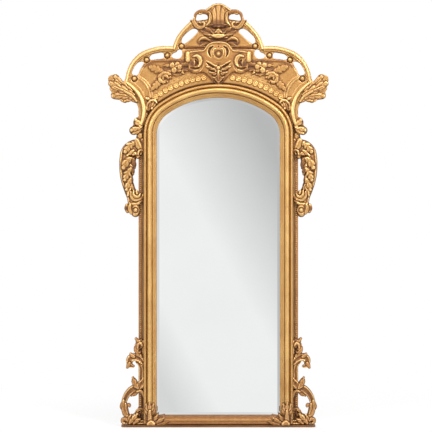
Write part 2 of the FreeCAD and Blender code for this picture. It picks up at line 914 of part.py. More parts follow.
def turn_button(label, side, height):
    """A button that swings about its screw and laps over the edge of the backboard."""
    half = size("button_half")
    reach = size("button_reach")
    inward = -side
    body, sketch = new_body(label, "XZ_Plane")
    draw(sketch, [
        (inward * reach, -half),
        (inward * (reach + half), 0, inward * half),
        (inward * reach, half, inward * half),
        (0, half),
        (-inward * half, 0, inward * half),
        (0, -half, inward * half),
    ])
    draw_hole(sketch, 0, 0, size("pivot_radius"))
    pad(body, sketch, size("button_thick"))
    move(body, side * button_pivot, board_back + size("button_rise") + size("button_thick"), height)
    keep(label, body)


def screw(name, radius, depth, head_radius, head_thick, seat, x, z):
    """A round-headed screw driven forward from the back, with its head standing on a seat level."""
    start = board_back - depth
    shank = rod(name + "_shank", radius, seat - start, (x, start, z), (0, 1, 0))
    head = rod(name + "_head", head_radius, head_thick, (x, seat, z), (0, 1, 0))
    return fuse(name, [shank, head])


def turn_buttons():
    screws = []
    seat = board_back + 2 * size("button_rise") + size("button_thick")
    for name, side in SIDES.items():
        for index, height in enumerate(button_heights(), 1):
            turn_button(f"turn_button_{name}_{index}", side, height)
            screws.append(screw(
                f"button_screw_{name}_{index}", pivot_shank(), size("button_screw_depth"),
                size("button_head_radius"), size("button_head_thick"), seat, side * button_pivot, height,
            ))
    keep("turn_button_screws", group("turn_button_screws", screws))


def hanger_height():
    return head_foot - size("hanger_drop")


def hanger_screw_heights():
    first = hanger_height() - size("hanger_screw_first")
    return [first, first - size("hanger_screw_pitch")]


def hanger_axis():
    return board_back + size("barrel_radius")


def hanger_strap(name, side):
    """A steel strap whose upper end is rolled round the bar of the ring."""
    label = f"hanger_strap_{name}"
    x = side * stile_middle
    half = size("strap_half")
    top = hanger_height()
    level = (board_back, board_back + size("strap_thick"))
    flat = box(label + "_flat", (x - half, x + half), level, (top - size("strap_length"), top))
    start = (x - half, hanger_axis(), top)
    barrel = rod(label + "_barrel", size("barrel_radius"), 2 * half, start, (1, 0, 0))
    radius = size("ring_wire") + size("running_gap")
    start = (x - half - overrun, hanger_axis(), top)
    bore = rod(label + "_bore", radius, 2 * half + 2 * overrun, start, (1, 0, 0))
    holes = [bore]
    for index, height in enumerate(hanger_screw_heights()):
        radius = size("hanger_screw_radius") + fit_gap
        start = (x, board_back - overrun, height)
        length = size("strap_thick") + 2 * overrun
        holes.append(rod(f"{label}_hole_{index}", radius, length, start, (0, 1, 0)))
    keep(label, cut(label, fuse(label + "_blank", [flat, barrel]), holes))


def hanger_ring(name, side):
    """A wire ring with a straight bar in the strap's barrel and a round loop below it."""
    label = f"hanger_ring_{name}"
    x = side * stile_middle
    y = hanger_axis()
    top = hanger_height()
    wire = size("ring_wire")
    half = size("ring_half")
    arm = size("ring_arm")
    pieces = [rod(label + "_bar", wire, 2 * half, (x - half, y, top), (1, 0, 0))]
    for end in SIDES.values():
        pieces.append(rod(f"{label}_arm_{end + 1}", wire, arm, (x + end * half, y, top), (0, 0, -1)))
        bend = add("Part::Sphere", f"{label}_bend_{end + 1}", Radius=wire)
        move(bend, x + end * half, y, top)
        pieces.append(bend)
    loop = add("Part::Torus", label + "_loop", Radius1=half, Radius2=wire)
    loop.Angle3 = 180
    loop.Placement = FreeCAD.Placement(FreeCAD.Vector(), FreeCAD.Rotation(FreeCAD.Vector(1, 0, 0), -90))
    move(loop, x, y, top - arm)
    pieces.append(loop)
    keep(label, fuse(label, pieces))


def hangers():
    screws = []
    seat = board_back + size("strap_thick")
    for name, side in SIDES.items():
        hanger_strap(name, side)
        hanger_ring(name, side)
        for index, height in enumerate(hanger_screw_heights(), 1):
            screws.append(screw(
                f"hanger_screw_{name}_{index}", size("hanger_screw_radius"), size("hanger_screw_depth"),
                size("hanger_head_radius"), size("hanger_head_thick"), seat, side * stile_middle, height,
            ))
    keep("hanger_screws", group("hanger_screws", screws))


def wall_pads():
    pads = []
    for name, side in SIDES.items():
        start = (side * stile_middle, board_back, size("wall_pad_height"))
        pads.append(rod(
            f"wall_pad_{name}", size("wall_pad_radius"), size("wall_pad_thick"), start, (0, 1, 0)
        ))
    keep("wall_pads", group("wall_pads", pads))


# Crest


def outline_face(spans, place):
    """A flat face inside straight and smooth spans, each from the end of the span before it."""
    edges = []
    start = place(*spans[0][0])
    first = start
    for span in spans[1:]:
        points = [start] + [place(*shares) for shares in span]
        curve = Part.LineSegment(*points) if len(points) == 2 else smooth(points)
        edges.append(curve.toShape())
        start = points[-1]
    if not start.isEqual(first, Part.Precision.confusion()):
        edges.append(Part.LineSegment(start, first).toShape())
    return Part.Face(Part.Wire(edges))


def smooth(points):
    curve = Part.BSplineCurve()
    curve.interpolate(points)
    return curve


def flat_point(x, z):
    return FreeCAD.Vector(number(x), 0, number(z))


def mirrored(shape):
    """A shape joined with its image across the middle of the mirror."""
    return shape.fuse(shape.mirror(FreeCAD.Vector(), FreeCAD.Vector(1, 0, 0))).removeSplitter()


def carving(name, shape, back):
    """A document object for a carved shape whose back face lies on a level."""
    item = doc.addObject("Part::Feature", name)
    item.Shape = shape
    item.Placement = FreeCAD.Placement(FreeCAD.Vector(0, number(back), 0), FreeCAD.Rotation())
    return item


def forward(depth):
    return FreeCAD.Vector(0, -number(depth), 0)


def lobe_centre():
    return crest_half * LOBE_REACH_SHARE - lobe_radius, crest_level(LOBE_HEIGHT_SHARE)


def top_rail_centre():
    return crest_half * TOP_RAIL_REACH_SHARE - top_rail_radius, crest_level(TOP_RAIL_HEIGHT_SHARE)


def rail_point(centre, reach, bearing):
    """The point at a distance and a bearing from the centre of a rail."""
    turn = math.radians(bearing)
    return centre[0] + reach * math.cos(turn), centre[1] + reach * math.sin(turn)


def spacer_points():
    """Middles of the spacers, on the inner side of the rails."""
    inset = size("spacer_inset")
    points = [rail_point(lobe_centre(), lobe_radius - inset, bearing) for bearing in LOBE_SPACER_BEARINGS]
    points.append(rail_point(top_rail_centre(), top_rail_radius - inset, TOP_RAIL_SPACER_BEARING))
    return points


def ring_sector(centre, radius, half, bearings):
    """A flat strip under a rail, run on past the bearings of both its ends."""
    first = bearings[0] - STRIP_RUN
    last = bearings[1] + STRIP_RUN
    outer = [flat_point(*rail_point(centre, radius + half, turn)) for turn in (first, (first + last) / 2, last)]
    inner = [flat_point(*rail_point(centre, radius - half, turn)) for turn in (last, (first + last) / 2, first)]
    edges = [
        Part.Arc(*outer).toShape(),
        Part.LineSegment(outer[2], inner[0]).toShape(),
        Part.Arc(*inner).toShape(),
        Part.LineSegment(inner[2], outer[0]).toShape(),
    ]
    return Part.Face(Part.Wire(edges))


def disc(centre, radius):
    circle = Part.Circle(flat_point(*centre), FreeCAD.Vector(0, 1, 0), number(radius))
    return Part.Face(Part.Wire(circle.toShape()))


def arch_face(offset, foot):
    """The sight outline grown by an offset, as a flat face."""
    half = opening_half + offset
    reach = haunch_radius + offset
    turn = math.radians((90 + number(lean)) / 2)
    edges = []
    for side in SIDES.values():
        join = flat_point(side * (haunch_x + reach * lean_sine), spring_height + reach * lean_cosine)
        bend = flat_point(
            side * (haunch_x + reach * math.sin(turn)), spring_height + reach * math.cos(turn)
        )
        spring = flat_point(side * half, spring_height)
        edges.append(Part.LineSegment(flat_point(side * half, foot), spring).toShape())
        edges.append(Part.Arc(spring, bend, join).toShape())
    join_x = haunch_x + reach * lean_sine
    join_z = spring_height + reach * lean_cosine
    crown = flat_point(0, crown_centre + crown_radius + offset)
    edges.append(Part.Arc(flat_point(-join_x, join_z), crown, flat_point(join_x, join_z)).toShape())
    edges.append(Part.LineSegment(flat_point(-half, foot), flat_point(half, foot)).toShape())
    return Part.Face(Part.Wire(Part.__sortEdges__(edges)))


def ring_slot():
    """The slot inside a ring scroll."""
    centre = crest_point(RING_SCROLL_CENTRE_SHARE)
    reach, rise = (number(ring_scroll_radius * share) for share in RING_SLOT_SHARES)
    ellipse = Part.Ellipse(FreeCAD.Vector(), reach, rise)
    ellipse.rotate(FreeCAD.Placement(FreeCAD.Vector(), FreeCAD.Rotation(FreeCAD.Vector(1, 0, 0), 90)))
    ellipse.translate(flat_point(*centre))
    return Part.Face(Part.Wire(ellipse.toShape()))


def crest_board():
    """The pierced board: a panel round the arch, strips under the rails and spacers that bridge the slots."""
    thick = size("crest_thick")
    panel = outline_face(CREST_PANEL_SHARES, lambda *shares: flat_point(*crest_point(shares)))
    faces = [disc(point, size("spacer_radius")) for point in spacer_points()]
    faces.append(ring_sector(lobe_centre(), lobe_radius, rail_half, LOBE_BEARINGS))
    faces.append(ring_sector(top_rail_centre(), top_rail_radius, rail_half, TOP_RAIL_BEARINGS))
    board = panel.extrude(forward(thick)).fuse([face.extrude(forward(thick)) for face in faces])
    opening = arch_face(moulding_width, head_foot)
    board = board.cut([opening.extrude(forward(thick)), ring_slot().extrude(forward(thick))])
    keep("crest_board", carving("crest_board", mirrored(board), board_front))


def crest_rail(label, side, radius, half, centre, bearings, trim=None):
    """A half-round rail on the front of the crest board, trimmed to the rail that it runs into."""
    first, last = bearings
    middle = (first + last) / 2
    name = label + "_blank" if trim else label
    profile = half_round(radius, half, half, crest_front)
    bearing = middle if side > 0 else 180 - middle
    rail = ring_piece(name, profile, (side * centre[0], centre[1]), 0, last - first, bearing)
    return cut(label, rail, [trim]) if trim else rail


def side_scroll_centre():
    return half_out + size("side_scroll_reach"), crest_level(SIDE_SCROLL_HEIGHT_SHARE)


def crest_rails(name, side):
    """The rails of one side, each trimmed to the rail that it runs into."""
    lobe = crest_rail(f"lobe_rail_{name}", side, lobe_radius, rail_half, lobe_centre(), LOBE_BEARINGS)
    scroll = crest_rail(
        f"side_scroll_{name}", side, size("side_scroll_radius"), rail_half, side_scroll_centre(),
        SIDE_SCROLL_BEARINGS, lobe,
    )
    top = crest_rail(
        f"top_rail_{name}", side, top_rail_radius, rail_half, top_rail_centre(), TOP_RAIL_BEARINGS, lobe
    )
    ring = crest_rail(
        f"ring_scroll_{name}", side, ring_scroll_radius, size("ring_scroll_half"),
        crest_point(RING_SCROLL_CENTRE_SHARE), RING_SCROLL_BEARINGS, top,
    )
    return lobe, scroll, top, ring


def dome(name, radius, depth, x, level, z):
    """Half an ellipsoid that stands forward of a level."""
    item = add("Part::Ellipsoid", name, Radius1=depth, Radius2=radius, Radius3=radius)
    item.Angle1 = 0
    turn = FreeCAD.Rotation(FreeCAD.Vector(0, 0, 1), FreeCAD.Vector(0, -1, 0))
    item.Placement = FreeCAD.Placement(FreeCAD.Vector(), turn)
    move(item, x, level, z)
    return item


def gallery_pearls():
    radius = size("pearl_radius")
    pearls = []
    for name, side in SIDES.items():
        for index, (x, z) in enumerate(spacer_points()):
            pearls.append(dome(f"gallery_pearl_{name}_{index}", radius, radius, side * x, crest_front, z))
    keep("gallery_pearls", group("gallery_pearls", pearls))


def coin_band():
    """Coins along the arch, on both sides of the cartouche."""
    radius = crown_radius + moulding_width + size("coin_lift")
    step = (2 * size("coin_radius") + size("coin_gap")) / radius * math.degrees(1)
    first = arc_sine(size("coin_start") / radius)
    coins = []
    for name, side in SIDES.items():
        for index in range(COINS_PER_SIDE):
            angle = first + index * step
            start = (side * radius * sine(angle), crest_front, crown_centre + radius * cosine(angle))
            coins.append(rod(
                f"coin_{name}_{index}", size("coin_radius"), size("coin_thick"), start, (0, -1, 0)
            ))
    return keep("coin_band", group("coin_band", coins))


def cartouche():
    half = size("cartouche_half")
    height = CARTOUCHE_HEIGHT_SHARE * crest_height
    foot = crown_top + size("cartouche_gap")
    face = outline_face(CARTOUCHE_SHARES, lambda across, up: flat_point(half * across, foot + height * up))
    shape = mirrored(face.extrude(forward(size("cartouche_depth"))))
    shield = keep("cartouche", carving("cartouche", shape, crest_front))
    level = crest_front - size("cartouche_depth")
    keep("cartouche_boss", dome(
        "cartouche_boss", size("boss_radius"), size("boss_depth"), 0, level, foot + BOSS_SHARE * height
    ))
    rolls = []
    for name, side in SIDES.items():
        radius = size("roll_radius")
        start = (
            side * (half + size("roll_gap") + radius), crest_front - radius, foot + ROLL_FOOT_SHARE * height
        )
        rolls.append(rod(f"cartouche_roll_{name}", radius, size("roll_length"), start, (0, 0, 1)))
    keep("cartouche_rolls", group("cartouche_rolls", rolls))
    return shield


def side_carving(label, shares, side, inner, foot, width, height, back, depth, neighbours=()):
    """A carved piece of one side, trimmed where a neighbour stands."""
    face = outline_face(
        shares, lambda across, up: flat_point(side * (inner + width * across), foot + height * up)
    )
    item = carving(label + "_blank" if neighbours else label, face.extrude(forward(depth)), back)
    return cut(label, item, neighbours) if neighbours else item


def leaf_spray(name, side, neighbours):
    inner = size("cartouche_half") + size("spray_gap")
    return side_carving(
        f"leaf_spray_{name}", SPRAY_SHARES, side, inner, crest_level(SPRAY_FOOT_SHARE),
        SPRAY_REACH_SHARE * crest_half - inner, SPRAY_HEIGHT_SHARE * crest_height,
        crest_front, size("spray_depth"), neighbours,
    )


def plume(neighbours):
    half = size("plume_half")
    height = PLUME_HEIGHT_SHARE * crest_height
    foot = crest_level(PLUME_FOOT_SHARE)
    face = outline_face(PLUME_SHARES, lambda across, up: flat_point(half * across, foot + height * up))
    item = carving("crest_plume_blank", mirrored(face.extrude(forward(size("plume_depth")))), crest_front)
    keep("crest_plume", cut("crest_plume", item, neighbours))


def wing_leaf(name, side, neighbours):
    return side_carving(
        f"wing_leaf_{name}", WING_LEAF_SHARES, side, half_out - size("wing_leaf_lap"),
        crest_level(WING_LEAF_FOOT_SHARE), size("wing_leaf_width"), size("wing_leaf_height"),
        crest_front, size("wing_leaf_depth"), neighbours,
    )


def rail_leaf(name, side, neighbours):
    return side_carving(
        f"rail_leaf_{name}", RAIL_LEAF_SHARES, side, half_out - size("rail_leaf_lap"),
        crest_level(RAIL_LEAF_FOOT_SHARE), size("rail_leaf_width"), size("rail_leaf_height"),
        crest_front, size("rail_leaf_depth"), neighbours,
    )


# Brackets and corners


def garland(name, side):
    return side_carving(
        f"garland_bracket_{name}", GARLAND_SHARES, side, half_out,
        spring_height - size("garland_drop") - size("garland_height"), size("garland_width"),
        size("garland_height"), size("bracket_lap"), size("bracket_lap") + size("bracket_front"),
    )


def corner_scroll(name, side):
    return side_carving(
        f"corner_scroll_{name}", CORNER_SCROLL_SHARES, side, half_out, plinth_height,
        size("corner_scroll_width"), size("corner_scroll_height"), size("bracket_lap"),
        size("bracket_lap") + size("bracket_front"),
    )


def corner_leaf(name, side):
    width = size("corner_leaf_width")
    return side_carving(
        f"corner_leaf_{name}", CORNER_LEAF_SHARES, side,
        moulding_outer - size("corner_leaf_inset") - width, plinth_height + size("corner_leaf_rise"), width,
        size("corner_leaf_height"), moulding_front, size("corner_leaf_depth"),
    )


def build_frame():
    for name, side in SIDES.items():
        stile(name, side)
        side_moulding(name, side)
        bead_strip(name, side)
    foot_rail()
    head_board()
    crest_batten()
    frame_dowels()
    plinth()
    plinth_screws()
    foot_moulding()
    arch_mouldings()


def build_crest():
    crest_board()
    gallery_pearls()
    shield = cartouche()
    coins = coin_band()
    top_rails = []
    ring_scrolls = []
    rail_leaves = []
    for name, side in SIDES.items():
        lobe, scroll, top, ring = crest_rails(name, side)
        keep(f"lobe_rail_{name}", lobe)
        keep(f"side_scroll_{name}", scroll)
        keep(f"leaf_spray_{name}", leaf_spray(name, side, [shield, coins]))
        keep(f"wing_leaf_{name}", wing_leaf(name, side, [scroll, lobe]))
        top_rails.append(top)
        ring_scrolls.append(ring)
        rail_leaves.append(rail_leaf(name, side, [scroll]))
    keep("top_rails", group("top_rails", top_rails))
    keep("ring_scrolls", group("ring_scrolls", ring_scrolls))
    keep("rail_leaves", group("rail_leaves", rail_leaves))
    plume(ring_scrolls)


def build_carvings():
    corner_leaves = []
    for name, side in SIDES.items():
        keep(f"garland_bracket_{name}", garland(name, side))
        keep(f"corner_scroll_{name}", corner_scroll(name, side))
        corner_leaves.append(corner_leaf(name, side))
    keep("corner_leaves", group("corner_leaves", corner_leaves))


def check_document():
    doc.recompute()
    for item in doc.Objects:
        if "Invalid" in item.State or "Error" in item.State:
            raise RuntimeError(f"{item.Label} did not compute")
    for item in parts:
        if item.Shape.isNull() or not item.Shape.isValid():
            raise RuntimeError(f"{item.Label} has no valid shape")


def write_parts():
    os.makedirs("parts", exist_ok=True)
    for item in parts:
        item.Shape.exportStep(f"parts/{item.Label}.step")
        print(item.Label, len(item.Shape.Solids), round(item.Shape.Volume))


build_frame()
mirror_glass()
packing_strips()
backboards()
turn_buttons()
hangers()
wall_pads()
build_crest()
build_carvings()
check_document()
write_parts()
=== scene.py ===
import json
import math

import bpy
import numpy as np
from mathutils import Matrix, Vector

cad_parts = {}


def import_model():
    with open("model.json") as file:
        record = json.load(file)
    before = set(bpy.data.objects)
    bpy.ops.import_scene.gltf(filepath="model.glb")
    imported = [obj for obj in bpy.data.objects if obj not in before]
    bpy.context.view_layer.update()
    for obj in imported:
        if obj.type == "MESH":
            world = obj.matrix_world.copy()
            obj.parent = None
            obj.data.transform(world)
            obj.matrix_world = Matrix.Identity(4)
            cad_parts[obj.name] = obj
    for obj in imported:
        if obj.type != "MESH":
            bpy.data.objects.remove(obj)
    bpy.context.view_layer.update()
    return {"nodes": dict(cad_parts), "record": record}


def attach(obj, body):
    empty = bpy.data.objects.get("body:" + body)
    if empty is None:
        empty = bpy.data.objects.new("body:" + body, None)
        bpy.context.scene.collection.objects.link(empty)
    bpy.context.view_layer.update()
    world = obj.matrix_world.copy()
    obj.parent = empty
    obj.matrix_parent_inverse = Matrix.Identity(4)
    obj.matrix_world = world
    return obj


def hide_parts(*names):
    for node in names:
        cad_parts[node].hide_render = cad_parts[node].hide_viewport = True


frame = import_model()

# Sizes are millimetres, and names with PX hold pixels of the left half of the photograph
PIXEL = 5.0
IMAGE_PX = 432.0
MIDDLE_PX = 218.35
FLOOR_PX = 426.8
MILLIMETRE = 0.001

# Pitch of the carved height maps, spacing of the points along a path, and points round a circle
PITCH = 1.8
SPACING = 1.5
CIRCLE_POINTS = 17

# Sight line of the frame: straight sides, two haunches and a crown
SIGHT_HALF = 310.0
SIGHT_FOOT = 56.0
SPRING = 1464.0
HAUNCH_RADIUS = 125.0
HAUNCH_X = SIGHT_HALF - HAUNCH_RADIUS
CROWN_RADIUS = 440.0
CROWN_CENTRE = 1209.0
LEAN = math.asin(HAUNCH_X / (CROWN_RADIUS - HAUNCH_RADIUS))
MOULDING_WIDTH = 66.0
PLINTH_TOP = 10.0
STILE_EDGE = 400.0

# Levels along Y
BOARD_FRONT = -6.0
CREST_FRONT = -20.0
BRACKET_BASE = -8.0
BRACKET_BACK = 8.0
LEAF_BACK = BOARD_FRONT - 1.0
FOOT_LEAF_BASE = -27.0
FOOT_LEAF_BACK = -20.0

SIDES = {"left": -1, "right": 1}


def millimetres(points):
    """Pixels of the left half as millimetres outward from the middle and up from the floor."""
    points = np.array(points, float)
    return np.stack([(MIDDLE_PX - points[..., 0]) * PIXEL, (FLOOR_PX - points[..., 1]) * PIXEL], -1)


def spline(knots):
    """Closely spaced points on a smooth curve through all the knots but the first and the last."""
    runs = []
    for before, start, finish, after in zip(knots, knots[1:], knots[2:], knots[3:]):
        count = max(2, int(np.linalg.norm(finish - start) / SPACING))
        t = np.linspace(0, 1, count, endpoint=False)[:, None]
        linear_part = (finish - before) * t
        square_part = (2 * before - 5 * start + 4 * finish - after) * t ** 2
        cube_part = (3 * start - before - 3 * finish + after) * t ** 3
        runs.append((2 * start + linear_part + square_part + cube_part) / 2)
    return np.vstack(runs)


def smooth_run(points):
    """A smooth open curve through the points."""
    points = np.array(points, float)
    if len(points) == 1:
        return points
    knots = np.vstack([2 * points[0] - points[1], points, 2 * points[-1] - points[-2]])
    return np.vstack([spline(knots), points[-1:]])


def smooth_loop(pixels):
    """A smooth closed curve through pixels, in millimetres."""
    points = millimetres(pixels)
    return spline(np.vstack([points[-1:], points, points[:2]]))


def spans_outline(spans):
    """A closed outline from spans of pixels; each is smooth and starts where the one before it ends."""
    runs = []
    start = spans[0][0]
    for span in spans[1:]:
        runs.append(smooth_run(millimetres([start] + span))[:-1])
        start = span[-1]
    return np.vstack(runs + [millimetres([start])])


def circle_px(centre, radius):
    """Pixels round a circle, back to the first."""
    turns = np.linspace(0, 2 * np.pi, CIRCLE_POINTS)
    return [(centre[0] + radius * math.cos(turn), centre[1] + radius * math.sin(turn)) for turn in turns]


def shares_along(run):
    """How far along a run each of its points is, from 0 to 1."""
    steps = np.linalg.norm(np.diff(run, axis=0), axis=1)
    return np.concatenate([[0], np.cumsum(steps)]) / max(steps.sum(), SPACING)


def spread(values, shares):
    """Values spaced evenly along a path, read at the given shares of it."""
    values = np.atleast_1d(values).astype(float)
    return np.interp(shares, np.linspace(0, 1, len(values)), values)


def share_of(value, whole):
    """A value as a share of the whole, kept between 0 and 1."""
    return np.clip(value / whole, 0, 1)


def bell(distance, width):
    """1 at no distance, falling off smoothly over a width."""
    return np.exp(-((distance / width) ** 2))


# Cross sections of a carved stroke: its height at a share across, from the middle at 0 to the edge at 1
RIM_MIDDLE = 0.68
HOLLOW_FLOOR = 0.62


def rounded(across):
    return np.sqrt(np.clip(1 - across ** 2, 0, 1))


def hollowed(across):
    """A scroll: a raised edge with a hollow between."""
    hollow = HOLLOW_FLOOR + (1 - HOLLOW_FLOOR) * (across / RIM_MIDDLE) ** 2
    return np.where(across < RIM_MIDDLE, hollow, rounded((across - RIM_MIDDLE) / (1 - RIM_MIDDLE)))


# A leaf laid over others: the height of its edge as a share, its vein, lobes and flutes, and the cut round it
LEAF_EDGE = 0.62
VEIN_DEPTH = 0.07
VEIN_WIDTH = 0.16
LOBE_LEAN = 0.55
LOBE_DEPTH = 0.3
FLUTE_DEPTH = 0.16
LEAF_CUT = 4.0
LEAF_CUT_DEPTH = 3.6
LEAF_CUT_DIRT = 0.32

# Height maps: spare cells round them, the distance inside an outline to start with, and the thinnest carving
MAP_MARGIN = 3
FAR_OUTSIDE = -1000.0
THINNEST = 0.5
WHOLE_MAP = np.s_[:, :]

# Least values to divide by
LEAST_WEIGHT = 1e-6
LEAST_SQUARE = 1e-9


def blur(values, mask, reach):
    """Mean of the values inside the mask over about the given reach."""
    cells = max(1, int(round(reach / PITCH)))
    kernel = np.ones(2 * cells + 1) / (2 * cells + 1)

    def widen(field):
        for _ in range(2):
            field = np.apply_along_axis(np.convolve, 0, field, kernel, "same")
            field = np.apply_along_axis(np.convolve, 1, field, kernel, "same")
        return field

    weight = widen(mask.astype(float))
    return widen(np.where(mask, values, 0.0)) / np.maximum(weight, LEAST_WEIGHT)


class Relief:
    """A carved height map: how far each cell lies inside the outline, its height forward and its dirt, which
    also holds painted shade.
    """

    def __init__(self, low, high, mirrored=False):
        self.mirrored = mirrored
        low = np.floor(np.array(low) / PITCH) - MAP_MARGIN
        high = np.ceil(np.array(high) / PITCH) + MAP_MARGIN
        if mirrored:
            low[0] = -high[0]
        self.start = low.astype(int)
        columns = np.arange(low[0], high[0] + 1) * PITCH
        rows = np.arange(low[1], high[1] + 1) * PITCH
        self.x, self.z = np.meshgrid(columns, rows)
        self.u = np.abs(self.x) if mirrored else self.x
        self.inside = np.full(self.x.shape, FAR_OUTSIDE)
        self.height = np.zeros(self.x.shape)
        self.dirt = np.zeros(self.x.shape)

    def within(self, outline):
        """Distance inside a closed outline for every cell."""
        distance = np.full(self.u.shape, np.inf)
        inside = np.zeros(self.u.shape, bool)
        for (u0, z0), (u1, z1) in zip(outline, np.roll(outline, -1, axis=0)):
            run_u, run_z = u1 - u0, z1 - z0
            length = max(run_u ** 2 + run_z ** 2, LEAST_SQUARE)
            t = np.clip(((self.u - u0) * run_u + (self.z - z0) * run_z) / length, 0, 1)
            distance = np.minimum(distance, np.hypot(self.u - u0 - t * run_u, self.z - z0 - t * run_z))
            if z0 != z1:
                crosses = (z0 > self.z) != (z1 > self.z)
                inside ^= crosses & (self.u < u0 + (self.z - z0) / (z1 - z0) * run_u)
        return np.where(inside, distance, -distance)

    def add(self, cells, inside, height):
        """Lay a form over what is there already."""
        old = self.height[cells]
        self.height[cells] = np.where(inside > 0, np.maximum(old, height), old)
        self.inside[cells] = np.maximum(self.inside[cells], inside)

    def trim(self, inside):
        """Cut away what lies outside a limit."""
        self.inside = np.minimum(self.inside, inside)

    def measure(self, points, radius, margin):
        """Cells near a run of pixels, how far each is from its points, and the run's shares and radii."""
        run = smooth_run(millimetres(points))
        shares = shares_along(run)
        radii = spread(np.atleast_1d(radius) * PIXEL, shares)
        low, high = run.min(0) - radii.max() - margin, run.max(0) + radii.max() + margin
        near = (self.u >= low[0]) & (self.u <= high[0]) & (self.z >= low[1]) & (self.z <= high[1])
        cells = np.nonzero(near)
        gap = np.hypot(self.u[cells][:, None] - run[:, 0], self.z[cells][:, None] - run[:, 1])
        return cells, gap, shares, radii

    def near(self, points, radius):
        """Cells near a run of pixels, how far each lies inside it, and its place across and along it."""
        cells, gap, shares, radii = self.measure(points, radius, 2 * PITCH)
        nearest = (gap - radii).argmin(1)
        distance = gap[np.arange(len(nearest)), nearest]
        radii = radii[nearest]
        return cells, radii - distance, np.minimum(distance / radii, 1), shares[nearest]

    def stroke(self, points, radius, height, section=rounded, base=0.0):
        """A carved stroke along pixels; its radius, in pixels, and its height may change along it."""
        cells, inside, across, share = self.near(points, radius)
        self.add(cells, inside, spread(base, share) + spread(height, share) * section(across))

    def dirt_and_shade(self, points, radius, share):
        """Dirt and painted shade along pixels, thinning outward; gives back its cells and how full each is.
        """
        cells, inside, across, _ = self.near(points, radius)
        shade = np.where(inside > 0, 1 - across ** 2, 0)
        self.dirt[cells] = np.maximum(self.dirt[cells], share * shade)
        return cells, shade

    def groove(self, points, radius, depth):
        """A groove along pixels, full of dirt."""
        cells, shade = self.dirt_and_shade(points, radius, 1.0)
        self.height[cells] = np.maximum(self.height[cells] - depth * shade, THINNEST)

    def leaf(self, points, radius, height, lobes, base=0.0):
        """A leaf laid over what is there: a vein along it, rounded lobes on its edges and a cut round it."""
        cells, gap, shares, radii = self.measure(points, radius, LEAF_CUT)
        nearest = gap.argmin(1)
        distance = gap[np.arange(len(nearest)), nearest]
        radii, share = radii[nearest], shares[nearest]
        lean = LOBE_LEAN * np.minimum(distance / radii, 1) / max(lobes, 1)
        notch = 1 - np.abs(np.cos(np.pi * lobes * (share - lean)))
        edge = radii * (1 - LOBE_DEPTH * notch)
        inside = edge - distance
        across = share_of(distance, edge)
        form = LEAF_EDGE + (1 - LEAF_EDGE) * rounded(across)
        form = form - VEIN_DEPTH * bell(across, VEIN_WIDTH) - FLUTE_DEPTH * notch ** 2 * across
        cut = np.clip(1 + inside / LEAF_CUT, 0, 1)
        rise = spread(base, share) + spread(height, share) * form
        sunk = np.maximum(self.height[cells] - LEAF_CUT_DEPTH * cut, THINNEST)
        grime = np.maximum(self.dirt[cells], LEAF_CUT_DIRT * cut)
        self.height[cells] = np.where(inside > 0, rise, sunk)
        self.dirt[cells] = np.where(inside > 0, LEAF_CUT_DIRT * notch ** 3 * across, grime)
        self.inside[cells] = np.maximum(self.inside[cells], inside)

    def strokes(self, table, section=rounded, base=0.0):
        for points, radius, height in table:
            self.stroke(points, radius, height, section, base)

    def leaves(self, table, base=0.0):
        for points, radius, height, lobes in table:
            self.leaf(points, radius, height, lobes, base)

    # Runs of painted shade, each with its share
    def painted_shades(self, table):
        for points, radius, share in table:
            self.dirt_and_shade(points, radius, share)

    def grooves(self, table):
        for points, radius, depth in table:
            self.groove(points, radius, depth)


# Meshes


def link(name, data, place=(0.0, 0.0, 0.0)):
    item = bpy.data.objects.new(name, data)
    item.location = place
    bpy.context.scene.collection.objects.link(item)
    return item


def link_piece(name, vertices, faces, marks, flat):
    """A mesh object from millimetre points, with values for the material on them and some faces flat."""
    mesh = bpy.data.meshes.new(name)
    mesh.from_pydata((np.asarray(vertices) * MILLIMETRE).tolist(), [], faces)
    for key, values in marks.items():
        attribute = mesh.attributes.new(key, "FLOAT", "POINT")
        attribute.data.foreach_set("value", np.asarray(values, np.float32))
    smooth = np.ones(len(faces), bool)
    smooth[flat] = False
    mesh.polygons.foreach_set("use_smooth", smooth)
    mesh.validate()
    mesh.update()
    return link(name, mesh)


def gild(piece, material, nodes):
    """Give a gilded piece its material, put it in the frame's body and hide the pieces of the frame that it
    stands for.
    """
    piece.data.materials.append(material)
    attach(piece, "frame")
    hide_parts(*nodes)


def cell_polygon(pattern):
    """A cell's polygon for a pattern of corners inside: 0 to 3 are corners, 4 to 7 the edges after them."""
    polygon = []
    for corner in range(4):
        if pattern >> corner & 1:
            polygon.append(corner)
        if (pattern >> corner & 1) != (pattern >> (corner + 1) % 4 & 1):
            polygon.append(4 + corner)
    return polygon


def cell_faces(inside):
    """Polygons that cover the inside of a map and the edges along its outline, by point number."""
    rows, columns = inside.shape
    count = rows * columns
    within = inside > 0
    corners = (within[:-1, :-1], within[:-1, 1:], within[1:, 1:], within[1:, :-1])
    patterns = sum(corner.astype(int) << bit for bit, corner in enumerate(corners))
    faces = []
    rims = []
    for pattern in range(1, 16):
        polygon = cell_polygon(pattern)
        row, column = np.nonzero(patterns == pattern)
        at = row * columns + column
        numbers = [
            at, at + 1, at + columns + 1, at + columns,
            count + at, 2 * count + at + 1, count + at + columns, 2 * count + at,
        ]
        faces += np.stack([numbers[key] for key in polygon], -1).tolist()
        for first, second in zip(polygon, polygon[1:] + polygon[:1]):
            if first > 3 and second > 3:
                rims += np.stack([numbers[first], numbers[second]], -1).tolist()
    return faces, rims


def with_outline(relief, values):
    """Values of the cells, and then where the outline crosses the rows and the columns of the map."""
    results = [values.ravel()]
    for axis in (1, 0):
        ahead = np.roll(relief.inside, -1, axis)
        t = np.clip(relief.inside / np.where(relief.inside == ahead, 1, relief.inside - ahead), 0, 1)
        results.append((values + t * (np.roll(values, -1, axis) - values)).ravel())
    return np.concatenate(results)


# The carving's rim, the step behind it, and how far its forms are softened
LIP = 1.2
SHOULDER = 2.0
SOFTNESS = 2.6
SOFT_SHARE = 0.65

